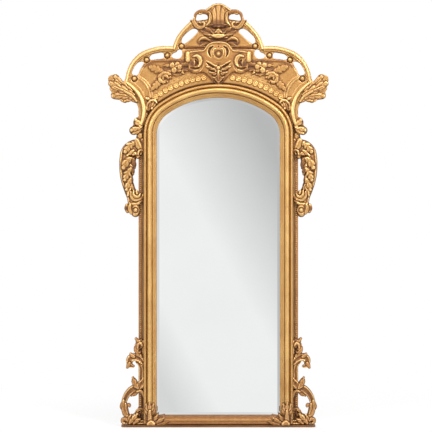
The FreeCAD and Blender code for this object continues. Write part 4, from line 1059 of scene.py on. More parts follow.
# Rails of the crest: the middle of each, its half widths along it and its height
LOBE_RAIL_PX = [
    (126.5, 82.6), (127.6, 78.4), (129.7, 70.4), (134.7, 61.4), (143.3, 54), (155.8, 49.6), (165, 48.5),
    (173.4, 48.7),
]
LOBE_RAIL_SIZE = (12.0, 14.0, 13.0), 14.0
TOP_RAIL_PX = [(174.3, 49.4), (177.5, 40.3), (181.3, 34), (187.2, 27.1), (191.6, 22.8)]
TOP_RAIL_SIZE = (12.0, 11.5, 10.0), 13.0
SIDE_SCROLL_PX = [
    (123.6, 81.4), (128, 83.6), (132.2, 87), (137.6, 92.6), (141.6, 99.6), (143.8, 107.5), (143.6, 115),
    (141.6, 122.4), (139, 127.4),
]
SIDE_SCROLL_SIZE = (7.0, 10.0, 12.0, 12.0, 9.0), 17.0
RING_SCROLL_PX = [(194.2, 21.8), (194.7, 17.6), (196, 13.6), (199.8, 11.2), (204.6, 11.2), (208, 12.6)]
RING_SCROLL_SIZE = (6.0, 8.0, 11.0), 12.0
RAIL_STEP = 3

# Sections of a rail and of a scroll: shares across and forward, and the dirt and the rubbing at each point;
# the rubbing also paints a highlight
RAIL_SECTION = [
    (-1, 0), (-1, 0.3), (-0.88, 0.42), (-0.76, 0.36), (-0.64, 0.66), (-0.44, 0.92), (-0.14, 1),
    (0.14, 0.92), (0.34, 0.68), (0.44, 0.42), (0.52, 0.36), (0.62, 0.52), (0.76, 0.56), (0.9, 0.46),
    (1, 0.25), (1, 0),
]
RAIL_RECESS = (0.8, 0.45, 0.25, 0.5, 0.1, 0, 0, 0, 0.1, 0.5, 0.7, 0.3, 0.1, 0.3, 0.7, 0.9)
RAIL_RIDGE = (0, 0, 0, 0, 0.2, 0.6, 1, 0.6, 0.2, 0, 0, 0, 0, 0, 0, 0)
SCROLL_SECTION = [
    (-1, 0), (-1, 0.2), (-0.9, 0.46), (-0.7, 0.76), (-0.4, 0.95), (0, 1), (0.4, 0.93), (0.68, 0.72),
    (0.82, 0.44), (0.9, 0.34), (1, 0.3), (1, 0),
]
SCROLL_RECESS = (0.8, 0.5, 0.2, 0, 0, 0, 0, 0.1, 0.5, 0.8, 0.6, 0.9)
SCROLL_RIDGE = (0, 0, 0, 0.3, 0.8, 1, 0.8, 0.2, 0, 0, 0, 0)
# Ring scrolls: an even painted shade over the whole section
RING_SHADE = 0.6
RAIL_FORM = (RAIL_SECTION, RAIL_RECESS, RAIL_RIDGE)
SCROLL_FORM = (SCROLL_SECTION, SCROLL_RECESS, SCROLL_RIDGE)
RING_FORM = (SCROLL_SECTION, [RING_SHADE] * len(SCROLL_SECTION), [0.0] * len(SCROLL_SECTION))


def rail(name, node, points, size, side, material, form=RAIL_FORM):
    """A moulded rail along pixels: a broad outer roll with a reed beside it, or one plain roll."""
    section, recess, ridge = form
    across, forward = np.transpose(section)
    halves, height = size
    run = smooth_run(millimetres(points))[::RAIL_STEP]
    halves = spread(halves, shares_along(run))[:, None]
    ahead = np.gradient(run, axis=0)
    ahead = ahead / np.linalg.norm(ahead, axis=1)[:, None]
    u = run[:, :1] - across * halves * ahead[:, 1:]
    z = run[:, 1:] + across * halves * ahead[:, :1]
    y = CREST_FRONT - forward * height * halves / halves.max()
    loft(name, np.stack([side * u, y, z], -1), {"recess": recess, "ridge": ridge}, material, [node], side > 0)


def crest_rails(material, pale, dull):
    for name, side in SIDES.items():
        lobe, scroll = f"lobe_rail_{name}", f"side_scroll_{name}"
        rail(f"{lobe}_gilt", lobe, LOBE_RAIL_PX, LOBE_RAIL_SIZE, side, material)
        rail(f"top_rail_{name}_gilt", "top_rails", TOP_RAIL_PX, TOP_RAIL_SIZE, side, material)
        ring = f"ring_scroll_{name}_gilt"
        # The ring scrolls take the shaded copy of the gold
        rail(ring, "ring_scrolls", RING_SCROLL_PX, RING_SCROLL_SIZE, side, dull, RING_FORM)
        rail(f"{scroll}_gilt", scroll, SIDE_SCROLL_PX, SIDE_SCROLL_SIZE, side, pale, SCROLL_FORM)


# Cartouche: a shield with a swelling face, a turned boss, hanging leaves and a roll at each end
CARTOUCHE_WINDOW = (0, 1700), (155, 1930)
CARTOUCHE_PX = [
    [(218.35, 86.2)],
    [(213.8, 81.6), (209.8, 77), (206, 73.4)],
    [(202.4, 71.8), (197.6, 73), (192.4, 72.4), (189, 68.6), (188.2, 61), (189.4, 51)],
    [(203.8, 50)],
    [(206.3, 45.8), (208.8, 43), (213.2, 41.8), (218.35, 41.4)],
]
CARTOUCHE_FLOOR = 8.0
CARTOUCHE_RISE = 3.0
CARTOUCHE_EDGE = 12.0
CARTOUCHE_SWELL = 6.0
CARTOUCHE_SWELL_PX = 13.0
CARTOUCHE_GLAZE = 0.53
BOSS_PX = (218.35, 54.0)
BOSS_RADIUS_PX = 10.6
BOSS_HEIGHT = 9.0
BOSS_RINGS = 4
BOSS_RING_HEIGHT = 1.2
CARTOUCHE_STROKES_PX = [
    ([(189.8, 52.2), (197, 51.2), (203.4, 50.7), (206, 47.8), (208.6, 44.7), (212.4, 42.8), (218.35, 42.2)],
     (0.7, 0.9, 1), 17),
    ([(202, 57.4), (203.8, 62.4), (202.8, 67.8), (199.6, 71.8)], (0.5, 0.7, 0.7, 0.5), 14),
    ([(206.4, 61), (210.2, 62.8), (214, 65.4), (218.35, 66.8)], (0.5, 0.8, 0.9, 1), 20),
    ([(213.3, 54.8), (212.9, 51.8), (214, 49.2), (215.8, 48.6)], (0.7, 1.3, 1.3, 0.7), 22),
    ([(218.35, 53.9)], (2.3,), 28),
]
PENDANT_LEAVES_PX = [
    ([(218.35, 79), (218.35, 82.6), (218.35, 85.8)], (2.8, 2.4, 0.8), 13, 0),
    ([(213.2, 76.8), (215.9, 78.6), (218.35, 82.2)], (1.1, 1.9, 1), 14.5, 0),
    ([(210, 71.9), (213.8, 73.2), (217.2, 76.6)], (1.1, 2, 0.9), 16, 0),
    ([(207, 66.6), (211.6, 68.2), (216, 71.6)], (1.1, 2.1, 0.9), 17.5, 0),
    ([(218.35, 70), (218.35, 75), (218.35, 80)], (1.2, 1.6, 0.8), 16, 0),
    ([(218.35, 67.8)], (2,), 19, 0),
    ([(193.2, 56.6), (196.4, 55.9), (199.2, 57.6), (200.6, 61), (199.9, 64.6), (197.8, 66.9)],
     (0.8, 1.7, 2.2, 2, 1.5, 0.7), 24, 0),
]
CARTOUCHE_GROOVES_PX = [
    ([(212.8, 46.5), (210.4, 48.2), (209.2, 51.2), (209.5, 54.2), (210.6, 56.6)],
     (0.6, 1.4, 1.4, 1.1, 0.4), 14),
    ([(206.6, 62.6), (209.6, 64.7), (213, 67)], (0.4, 1.1, 1.3), 12),
    ([(208.6, 70.2), (211.8, 71.2), (214.8, 71)], (0.4, 1.1, 0.8), 10),
    ([(211.6, 75.4), (214.2, 76.1), (216.6, 74.8)], (0.4, 1, 0.6), 9),
    ([(213.6, 80.2), (216, 82), (217.4, 84)], (0.5, 0.9, 0.5), 9),
    ([(195.4, 60.2), (196.6, 62.6), (195.6, 65.4)], (0.9, 1.5, 0.9), 14),
    ([(190.8, 67.8), (195, 68.6), (199, 68.2)], (0.8, 1.4, 0.6), 11),
    ([(218.35, 46.6)], (0.9,), 6),
    (circle_px(BOSS_PX, 3.2), (0.8,), 5),
]
# Painted shade under the volute and over the hanging leaves
CARTOUCHE_SHADES_PX = [
    ([(190.4, 61.6), (193.4, 65.6), (192, 69.4)], (3, 3.4, 3), 0.55),
    ([(211, 68), (214, 74), (218.35, 82)], (4.4, 5, 5.6), 0.42),
    ([(218.35, 84)], (4,), 0.5),
]
ROLL_WINDOW = (135, 1815), (180, 1885)
ROLL_PX = ([(187.7, 53.6), (187.9, 59.8)], (2.8, 3.0), 20.0)


def boss_height(reach):
    """A turned boss: a low dome with rings round its middle."""
    share = reach / BOSS_RADIUS_PX
    rings = BOSS_RING_HEIGHT * np.cos(2 * np.pi * BOSS_RINGS * share) * share
    return CARTOUCHE_FLOOR + BOSS_HEIGHT * rounded(share) + rings


def cartouche(material):
    relief = Relief(*CARTOUCHE_WINDOW, mirrored=True)
    inside = relief.within(spans_outline(CARTOUCHE_PX))
    centre = millimetres(BOSS_PX)
    reach = np.hypot(relief.u - centre[0], relief.z - centre[1]) / PIXEL
    face = CARTOUCHE_FLOOR + CARTOUCHE_RISE * (1 - np.exp(-np.clip(inside, 0, None) / CARTOUCHE_EDGE))
    relief.add(WHOLE_MAP, inside, face + CARTOUCHE_SWELL * bell(reach, CARTOUCHE_SWELL_PX))
    relief.add(WHOLE_MAP, (BOSS_RADIUS_PX - reach) * PIXEL, boss_height(reach))
    relief.strokes(CARTOUCHE_STROKES_PX)
    relief.leaves(PENDANT_LEAVES_PX)
    relief.grooves(CARTOUCHE_GROOVES_PX)
    relief.painted_shades(CARTOUCHE_SHADES_PX)
    nodes = ["cartouche", "cartouche_boss"]
    carve("cartouche_shield", relief, CREST_FRONT, CREST_FRONT, material, nodes, glaze=CARTOUCHE_GLAZE)
    for name, side in SIDES.items():
        roll = Relief(*ROLL_WINDOW)
        roll.stroke(*ROLL_PX)
        carve(f"cartouche_roll_{name}", roll, CREST_FRONT, CREST_FRONT, material, ["cartouche_rolls"], side)
    return [relief, roll]


# Leaf sprays beside the cartouche, each with a flower of petals that lie over one another
SPRAY_WINDOW = (140, 1665), (345, 1840)
SPRAY_MOUND_PX = ([(189, 67.4), (180, 68.2), (170, 69.6), (163, 74), (160.6, 79)], (3.4, 3.6, 3, 4, 3.4), 5)
SPRAY_LEAVES_PX = [
    ([(190.6, 68.8), (182, 69.8), (172, 71), (163.6, 72.2)], (1.6, 1.9, 1.7, 1.2), 8, 0),
    ([(161.8, 79.6), (156.8, 84.2), (150.8, 90.4)], (2, 4.1, 1.2), 8.5, 4),
    ([(163, 71.6), (157, 69.4), (150.6, 67)], (1.8, 4.4, 3), 8, 3),
    ([(179.6, 66), (184.6, 64.2), (190, 64.4)], (1.4, 2.5, 1.4), 9, 2),
    ([(172.4, 73.4), (176.6, 74.6), (181, 74)], (1, 1.5, 0.8), 7, 1),
    ([(169, 63.6), (172, 62.6), (176, 62.4)], (0.8, 1.3, 0.8), 7, 1),
    ([(171.2, 66.2), (167, 65.2), (163.2, 65.8)], (1.2, 1.7, 0.8), 8, 1),
    ([(170.2, 74.4), (164.6, 73.3), (160.2, 75.8), (160, 79.8), (163.2, 82.2), (166.6, 80.4)],
     (1.4, 2.3, 2.4, 2.2, 2, 1.1), 11.5, 5),
    ([(168.4, 77.8), (166, 75.9), (163.4, 76.6), (163.2, 79)], (1.2, 1.6, 1.5, 1), 12.5, 0),
    ([(170.2, 77.2)], (1.4,), 10, 0),
    ([(167.4, 81.6)], (1.3,), 8, 0),
    ([(186.6, 70.6), (183.6, 69.9), (182, 71.8), (183.8, 73.4)], (1, 1.4, 1.4, 0.9), 11, 0),
]
PETALS_PX = [
    ([(176.8, 68.4), (178.8, 70.6)], (1.4, 2.2), 11, 0),
    ([(175.2, 66.4), (172.4, 65.4)], (1.8, 3), 13, 0),
    ([(176.2, 66), (177.4, 63.8)], (1.6, 2.4), 12.5, 0),
    ([(177, 67), (179.6, 66.8)], (1.6, 2.6), 13.5, 0),
    ([(175.6, 68.2), (174.2, 70)], (1.7, 3), 15, 0),
    ([(176.3, 67)], (1,), 16, 0),
]
SPRAY_GROOVES_PX = [
    ([(165.4, 68.2), (168.4, 67.7), (171, 68)], (0.6, 1.1, 0.6), 6),
    ([(176.2, 67.2), (176.8, 68.8)], (0.7, 0.6), 8),
    ([(176.2, 72.5), (179.6, 72.8), (181.6, 71.4)], (0.5, 1, 0.5), 7),
    ([(183.2, 67.2), (188.4, 67.2)], (0.7, 1), 6),
    ([(164.6, 79), (166, 78.4)], (0.8, 0.7), 7),
]
# Painted shade between the spray and the cartouche and among the leaves
SPRAY_SHADES_PX = [
    ([(195, 64.6), (184.4, 67.6)], (6, 4.6), 0.75),
    ([(170, 68), (164, 70)], (3, 2.4), 0.35),
    ([(178, 72)], (3.6,), 0.4),
    ([(164, 77)], (3,), 0.3),
]
SPRAY_GLAZE = 0.42


def leaf_sprays(material):
    for name, side in SIDES.items():
        relief = Relief(*SPRAY_WINDOW)
        relief.stroke(*SPRAY_MOUND_PX)
        relief.leaves(SPRAY_LEAVES_PX + PETALS_PX)
        relief.grooves(SPRAY_GROOVES_PX)
        relief.painted_shades(SPRAY_SHADES_PX)
        node = f"leaf_spray_{name}"
        carve(f"{node}_gilt", relief, CREST_FRONT, CREST_FRONT, material, [node], side, SPRAY_GLAZE)
    return [relief]


# Plume at the top
PLUME_WINDOW = (0, 1990), (70, 2121)
PLUME_PX = [
    [(218.35, 25.8)],
    [(210.6, 25.4)],
    [(211, 21), (210.8, 15), (207, 10.4)],
    [(206.2, 8.8)],
    [(210.4, 6.2), (214.4, 3.9), (218.35, 3.1)],
]
PLUME_FLOOR = 9.0
PLUME_STROKES_PX = [
    ([(218.35, 25), (218.35, 14), (218.35, 6.4)], (3, 3.4, 3.4), 14),
    ([(214.4, 25), (214.7, 16), (213.2, 7.8)], (2.4, 2.8, 2.8), 13.5),
    ([(206.4, 10.2), (210.2, 7.4), (214.2, 5), (218.35, 4.2)], (1, 1.2, 1.2), 16),
    ([(213.6, 25.2), (210.6, 24.6), (208.4, 25.6)], (1.1, 1.1, 0.7), 13),
]
PLUME_GROOVES_PX = [
    ([(208.6, 11), (211, 13.2), (211.8, 17.6), (211.5, 23.4)], (0.5, 0.9, 0.9, 0.5), 8),
    ([(216.5, 24), (216.6, 14), (215.9, 8.6)], (0.3, 0.4, 0.3), 2),
    ([(211.8, 11.4), (212.6, 9.4), (214.6, 7.2)], (0.3, 0.4, 0.3), 2),
    ([(213, 25.4), (218.35, 25.2)], (0.8, 1.2), 4),
]
# Painted shade at the foot of the plume
PLUME_SHADE_PX = ([(210.0, 27.0), (218.35, 27.0)], 9.0, 0.6)
PLUME_GLAZE = 0.52


def crest_plume(material):
    relief = Relief(*PLUME_WINDOW, mirrored=True)
    relief.add(WHOLE_MAP, relief.within(spans_outline(PLUME_PX)), PLUME_FLOOR)
    relief.strokes(PLUME_STROKES_PX)
    relief.grooves(PLUME_GROOVES_PX)
    relief.dirt_and_shade(*PLUME_SHADE_PX)
    carve("crest_plume_gilt", relief, CREST_FRONT, CREST_FRONT, material, ["crest_plume"], glaze=PLUME_GLAZE)
    return [relief]


# Leaves at the sides of the crest: a broad wing, and a smaller leaf at the foot of each side scroll
WING_WINDOW = (395, 1610), (556, 1772)
WING_PX = [
    (114.4, 74.2), (109.2, 76.2), (108, 80.2), (110.2, 84.2), (109.4, 88.5), (111.2, 92), (110.8, 95.6),
    (112.8, 98.6), (119, 99.8), (121.9, 101.8), (125.3, 102.7), (129, 100.4), (132.8, 99.8), (136.8, 102.4),
    (134.8, 94), (129, 88.2), (121.9, 83), (119.4, 77), (117.4, 74.5),
]
WING_FLOOR = 15.0
WING_LOBES_PX = [
    ([(136.4, 102), (131, 99), (125, 101)], (1.4, 2.6, 1.8), 17, 2),
    ([(134.6, 98.4), (124.6, 95.8), (113, 96.2)], (1.6, 4.2, 2.8), 18.5, 3),
    ([(132, 91), (122.8, 84.4), (115.2, 77)], (1.5, 3.8, 2.8), 18.5, 3),
    ([(134, 95), (122, 89.2), (110.8, 83.6)], (1.6, 4.9, 3.6), 20, 3),
    ([(136.6, 101.2), (132, 95.8), (122, 90), (113.6, 86.2)], (1.2, 1.6, 1.1, 0.5), 21.5, 0),
]
WING_VEINS_PX = [
    ([(130, 97.4), (121, 96), (114, 96.4)], (0.4, 0.5, 0.3), 2.5),
    ([(128, 89), (121.6, 83.6), (116.4, 78.4)], (0.4, 0.5, 0.3), 2.5),
    ([(124, 90.6), (118.6, 92), (112.6, 91)], (0.3, 0.4, 0.3), 2),
    ([(120.4, 88.6), (115.6, 84.4), (111.2, 80.8)], (0.3, 0.4, 0.3), 2),
]
WING_GLAZE = 0.4
RAIL_LEAF_WINDOW = (380, 1445), (450, 1560)
RAIL_LEAF_OUTLINE_PX = [
    (136.5, 117.4), (133.4, 120.8), (132.9, 125.2), (130, 127.8), (129.2, 131), (131.2, 134.2),
    (135, 134.6), (139.6, 131), (141.6, 125), (141, 118.8),
]
RAIL_LEAF_FLOOR = 8.0
RAIL_LEAF_PX = [
    ([(140.8, 129.6), (136.8, 132.2), (133.4, 133.2)], (1.2, 2.2, 1.6), 17, 1),
    ([(141.4, 124.4), (138, 122.8), (135.8, 119.8)], (1.4, 3, 2.2), 19, 1),
    ([(141.2, 127.2), (136.6, 128.4), (131.8, 130.2)], (1.4, 3, 2.4), 20, 2),
]
RAIL_LEAF_GROOVE_PX = ([(139.8, 127.2), (136.4, 126.2), (133.2, 126.4)], (0.4, 0.7, 0.6), 9)
RAIL_LEAF_GLAZE = 0.44


def side_leaves(material):
    for name, side in SIDES.items():
        wing = Relief(*WING_WINDOW)
        wing.add(WHOLE_MAP, wing.within(smooth_loop(WING_PX)), WING_FLOOR)
        wing.leaves(WING_LOBES_PX)
        wing.grooves(WING_VEINS_PX)
        node = f"wing_leaf_{name}"
        carve(f"{node}_gilt", wing, CREST_FRONT, LEAF_BACK, material, [node], side, WING_GLAZE)
        leaf = Relief(*RAIL_LEAF_WINDOW)
        leaf.add(WHOLE_MAP, leaf.within(smooth_loop(RAIL_LEAF_OUTLINE_PX)), RAIL_LEAF_FLOOR)
        leaf.leaves(RAIL_LEAF_PX)
        leaf.groove(*RAIL_LEAF_GROOVE_PX)
        piece = f"rail_leaf_{name}_gilt"
        carve(piece, leaf, CREST_FRONT, LEAF_BACK, material, ["rail_leaves"], side, RAIL_LEAF_GLAZE)


# Garland brackets beside the upper stiles
GARLAND_WINDOW = (366, 1040), (495, 1480)
GARLAND_INNER = 376.0
GARLAND_SLOT_PX = [
    (139.6, 159.8), (136.5, 160.2), (135.6, 164), (135, 169), (133.2, 173.8), (132.2, 177.4), (133, 182.2),
    (135, 186.4), (137.4, 189.6), (139.6, 190.4),
]
GARLAND_BODY_PX = [
    ([(139.4, 146), (132.4, 149.4), (128.6, 156.6), (127.8, 165), (126.8, 174), (127.9, 182), (130.4, 190),
      (133.8, 197.6), (134.4, 206)],
     (5.4, 7.4, 7.6, 7.2, 6, 5.3, 4.8, 6.2, 5.6), 20),
    ([(136.8, 139.6), (130, 141.7), (125.1, 145.7), (122.1, 151), (120.9, 157.4), (120.6, 164),
      (121.1, 174), (122.9, 182.8), (125.4, 190.8), (128, 198), (128.8, 203.4)],
     (1, 1.5, 1.6, 1.5, 1.2), 18),
    ([(139.8, 135), (139.8, 141.6)], (3.4, 4.4), 15),
]
GARLAND_LEAVES_PX = [
    ([(144, 148.4), (142.8, 144.6), (142.2, 140)], (1.2, 1.9, 1.7), 22, 0),
    ([(138.8, 156.6), (134.6, 153.6), (130.2, 154.4)], (1.8, 2.9, 1.7), 24, 2),
    ([(131.8, 157.2), (133.5, 161.6), (134.4, 168)], (1.6, 2.8, 1.3), 24, 2),
    ([(130.6, 165), (132.2, 169), (132.9, 174.4)], (1.5, 2.5, 1.2), 25, 2),
    ([(129.6, 174), (131.2, 178), (131.8, 183)], (1.3, 2.1, 1), 25, 2),
    ([(129.8, 182.4), (131.9, 186.4), (133.4, 190.8)], (1.2, 2.1, 1), 25, 2),
    ([(130.6, 187), (128.9, 190.8), (127.9, 195.4)], (1.6, 2.7, 1.6), 27, 1),
    ([(130.6, 178.8), (128.3, 183.8), (126.6, 189.6)], (1.8, 3.5, 2.3), 29, 2),
    ([(130.8, 168.4), (127.6, 173.4), (125, 179.8)], (1.8, 4.1, 2.6), 30, 3),
    ([(131.4, 157.6), (126.8, 161.4), (123.6, 167.4)], (1.8, 4.4, 3), 30, 2),
    ([(133.8, 150.2), (130.8, 152.2), (127.2, 155.6)], (1.4, 2.4, 1.6), 27, 1),
    ([(135.6, 142.4), (130, 145.6), (125.4, 151.6)], (2, 4.1, 2.9), 30, 3),
    ([(141.4, 150), (138.4, 145), (136.8, 140.6)], (2, 3.5, 2.6), 29, 0),
]
GARLAND_CURLS_PX = [
    ([(138.2, 155.4), (138.6, 151.6), (141.2, 149.6), (143.4, 151.4)], (0.9, 1.3, 1.3, 0.8), 26, 0),
    ([(140.6, 154.2), (141.8, 152.4)], (1, 0.8), 22, 0),
    ([(137.6, 157.2)], (1.6,), 25, 0),
    ([(130.8, 191.4), (131, 195.4), (133.4, 199), (137.4, 200.2), (141.4, 198.2), (143.2, 194.4)],
     (0.9, 1.8, 2.1, 2.1, 1.8, 0.9), 24, 0),
    ([(133.6, 191), (133.6, 194.4), (135.8, 196.8), (138.8, 196.2), (140.6, 193.2)],
     (0.8, 1.6, 1.8, 1.6, 0.8), 26, 0),
    ([(136.6, 191.4), (137.2, 193.6)], (1.4, 1.3), 27, 0),
    ([(142.2, 200.8), (138.2, 203), (133.4, 204.2), (129.4, 203.4)], (1, 1.8, 1.8, 1), 23, 0),
    ([(126.6, 205), (126.2, 208.4), (127.2, 211.6)], (1.6, 2.1, 1.6), 19, 0),
    ([(130.2, 204.6), (129.4, 208.6), (130.8, 213)], (1.4, 2.2, 1.6), 23, 0),
]
GARLAND_KNOB_PX = [
    ([(135.4, 207.4), (135.6, 210.6), (135.2, 213.2)], (4, 4.9, 4), 26),
    ([(135.6, 210.2)], (2.2,), 29),
]
GARLAND_GROOVES_PX = [
    (circle_px((135.5, 210.2), 2.6), (0.7,), 4),
    ([(133.2, 201.6), (135.8, 202.2), (138, 201.6)], (0.5, 0.8, 0.4), 9),
    ([(129.4, 155.8), (132.2, 156.8), (135.6, 155.8)], (0.7, 1.2, 0.8), 10),
    ([(122.8, 171.6), (125, 170.8)], (0.8, 0.6), 9),
    ([(131.6, 189.6), (132.2, 191)], (0.7, 0.7), 9),
]
# Painted shade on the inner leaves of the garland and in its hollows
GARLAND_SHADES_PX = [
    ([(135.4, 157), (134.4, 165), (133.6, 176), (133.6, 188)], (3.6, 3.4, 2.6, 2.2), 0.55),
    ([(143, 141), (143.4, 152)], (3.4, 2.6), 0.5),
    ([(126.2, 208.4)], (2.6,), 0.6),
    ([(142.8, 198), (141.6, 206)], (2.6, 2.2), 0.5),
]
GARLAND_GLAZE = 0.5


def bracket_back(u):
    """The back of a bracket: beside the stile, and in front of it where the carving laps over."""
    return np.where(u < STILE_EDGE, BOARD_FRONT, BRACKET_BACK)


def garlands(material):
    for name, side in SIDES.items():
        relief = Relief(*GARLAND_WINDOW)
        relief.strokes(GARLAND_BODY_PX)
        relief.trim(relief.u - GARLAND_INNER)
        relief.trim(-relief.within(smooth_loop(GARLAND_SLOT_PX)))
        relief.leaves(GARLAND_LEAVES_PX + GARLAND_CURLS_PX)
        relief.strokes(GARLAND_KNOB_PX)
        relief.grooves(GARLAND_GROOVES_PX)
        relief.painted_shades(GARLAND_SHADES_PX)
        nodes = [f"garland_bracket_{name}"]
        carve(f"garland_{name}", relief, BRACKET_BASE, bracket_back, material, nodes, side, GARLAND_GLAZE)


# Scrolls beside the lower stiles, and leaves over the lower corners of the moulding
CORNER_WINDOW = (364, 10), (493, 448)
CORNER_FLOOR_PX = [
    ([(140.6, 409.6), (140.4, 415), (141.4, 420)], (3.2, 4.6, 3.6), 6),
    ([(140.6, 341), (138.4, 347), (138.2, 352), (140.6, 358)], (2.6, 3.6, 3.8, 2.6), 14),
    ([(141.8, 388), (142.2, 394), (142, 402), (142.2, 408)], (2.8, 2.6, 2.6, 2.6), 6),
    ([(124, 401), (124.4, 407), (126.4, 414), (128, 419)], (2.2, 3.2, 2.6, 2.8), 15),
    ([(131, 421), (134, 417.4)], (3.6, 3.4), 15),
]
CORNER_SCROLLS_PX = [
    ([(141.8, 366), (142.2, 358), (141.6, 350), (141.8, 341.6)], (1.8, 2.2, 2.2, 1.4), 17),
    ([(123, 421.8), (130, 422.3), (138, 422.4), (146, 422.4)], (2, 2.3, 2.3, 2.2), 19),
    ([(135.2, 413.6), (137.4, 410.8), (141, 409.5), (144.8, 410.2)], (1, 1.4, 1.4, 1), 17),
    ([(141.2, 387), (140.9, 377), (141.1, 369.6), (139.4, 364.8), (136.6, 362.2)],
     (2.6, 2.6, 2.6, 2.3, 1.3), 20),
    ([(145.2, 378.2), (141.8, 383.4), (137.2, 387.4), (131.4, 390.4), (127, 394.8), (124.4, 400.4),
      (123.6, 406)],
     (1.8, 3.4, 4.4, 3.9, 3.3, 2.9, 2.5), 23),
    ([(143.4, 363.4), (139.6, 359.2), (134.6, 357.4), (130.6, 358.6), (129.2, 362.4), (130.4, 365.8),
      (133.2, 366.6)],
     (2, 3, 3.7, 4, 3.7, 2.6, 1.3), 24),
]
CORNER_LEAVES_PX = [
    ([(143.4, 353), (143.8, 347), (143.4, 341.6)], (1.3, 2, 1.4), 20, 0),
    ([(141.2, 347), (138.2, 342.4), (135.7, 338.8)], (1.8, 2.9, 1.7), 22, 1),
    ([(140.6, 356.6), (137, 351.6), (136.2, 345)], (2, 3.7, 2.2), 24, 2),
    ([(137.6, 348), (138, 344.6), (140.3, 343.4), (142, 345.8)], (1.1, 1.6, 1.6, 1.2), 26, 0),
    ([(133.6, 356.8), (131.6, 355.4), (130.4, 354.2)], (1.8, 2, 1.3), 22, 0),
    ([(129.4, 363.6), (128, 365.8), (127.2, 367.8)], (1.9, 2.1, 1.4), 20, 0),
    ([(138.4, 391.6), (134.8, 394.2), (131.2, 396.2)], (1.6, 2.2, 1.2), 17, 1),
    ([(138, 388.4), (135, 384), (132.6, 377.8)], (1.8, 3.7, 1.4), 25, 2),
    ([(136.8, 391.8), (139.8, 391), (142.6, 393), (143.8, 396.8)], (1, 1.6, 1.6, 1.1), 25, 0),
    ([(126, 406.6), (128.6, 405.2), (129.6, 406.6)], (1.8, 1.8, 1.2), 20, 0),
    ([(123.2, 400.8), (122.6, 407), (124.8, 413), (128.4, 418.4)], (1.9, 3.1, 3.1, 2.2), 25, 2),
    ([(125.6, 403.6), (126, 408.6), (127.4, 413.6)], (1, 1.8, 1), 24, 0),
    ([(128.8, 421.4), (125.6, 419.2), (122.6, 419.8), (122.2, 422), (124.2, 423.3)],
     (1.5, 2.1, 1.9, 1.6, 1.1), 23, 0),
    ([(129.2, 421.6), (129.2, 418), (130.6, 415.2)], (1.4, 2, 1.2), 22, 1),
    ([(133.6, 423.8), (136.6, 421), (140.6, 418.9)], (1.6, 2.5, 1.4), 23, 1),
    ([(129.6, 423.4), (132.8, 419.2), (137, 414.2)], (1.8, 3.1, 1.6), 25, 2),
]
CORNER_GROOVES_PX = [
    ([(139.2, 350.6), (141.4, 349.8)], (1.2, 0.9), 9),
    ([(139.4, 354), (141.6, 353.4)], (0.9, 0.7), 8),
    ([(141, 411.6), (140.6, 415.2), (141.4, 418.6)], (2, 3, 2), 4),
    ([(142.6, 398.4), (142.6, 407)], (1.4, 1.4), 4),
    ([(130.9, 361.7), (131.2, 363)], (0.7, 0.7), 7),
    ([(144.2, 362), (144, 374)], (0.7, 0.7), 7),
]
# Painted shade in the hollows of the corner scroll
CORNER_SHADES_PX = [
    ([(140.4, 347), (140.4, 354)], (3, 3.2), 0.5),
    ([(142, 390), (142, 408), (141, 417)], (3, 3.4, 5), 0.5),
    ([(143.6, 360), (144.2, 376)], (2,), 0.4),
    ([(132, 363.2)], (2.4,), 0.4),
    ([(139, 389.4), (130, 393.6), (126.4, 400)], (2.4, 1.8, 1.6), 0.3),
    ([(127.6, 408), (129, 414)], (2, 2), 0.45),
]
CORNER_PEARLS_PX = [([(139.4, 415.3)], (1.7,), 19), ([(142.7, 413)], (1.3,), 16)]
CORNER_GLAZE = 0.5
FOOT_LEAF_WINDOW = (240, 10), (368, 135)
FOOT_LEAVES_PX = [
    ([(154, 424.4), (158.8, 421.2), (163.8, 417.6)], (1.8, 3.2, 1.6), 23, 2),
    ([(157.6, 424.8), (162.8, 423.4), (168.2, 420.8)], (1.6, 2.4, 1.3), 23, 2),
    ([(153.4, 420.6), (155.6, 417.4), (157.4, 414.6)], (1.6, 2.4, 1.5), 25, 1),
    ([(148.4, 424.2), (146.2, 421.6), (145.2, 417.6)], (1.8, 2.5, 1.6), 26, 1),
    ([(149.8, 424.8), (149.6, 417), (149.6, 408)], (3.6, 3.6, 4.2), 26, 0),
    ([(151.6, 414.6), (153.6, 411.8), (154.6, 408.4)], (1.6, 2.2, 1.7), 28, 1),
    ([(148.2, 414.6), (146.2, 411.8), (145.2, 408.4)], (1.6, 2.2, 1.7), 28, 1),
    ([(150.6, 411), (152.4, 407.6), (153.6, 403.8)], (1.5, 2.4, 1.7), 30, 1),
    ([(149, 411), (147.2, 407.6), (146, 403.8)], (1.5, 2.4, 1.7), 30, 1),
    ([(149.8, 411), (149.8, 406.4), (149.7, 401.8)], (1.6, 2.4, 1.6), 31.5, 1),
    ([(149.9, 420), (149.9, 415.6), (149.9, 410.4)], (2.4, 2.2, 1.5), 32.5, 0),
    ([(148.6, 423.4), (151, 422.2), (153.6, 423.4)], (2, 3, 2), 34, 0),
]
# Painted shade beside the stem of the foot leaves and along the rail
FOOT_SHADES_PX = [
    ([(146.6, 420), (146.8, 414)], (2.6, 2.4), 0.4),
    ([(153.4, 419), (153.4, 413)], (2.6, 2.4), 0.4),
    ([(158, 424), (168, 421)], (4, 3), 0.3),
]
FOOT_LEAF_GLAZE = 0.46


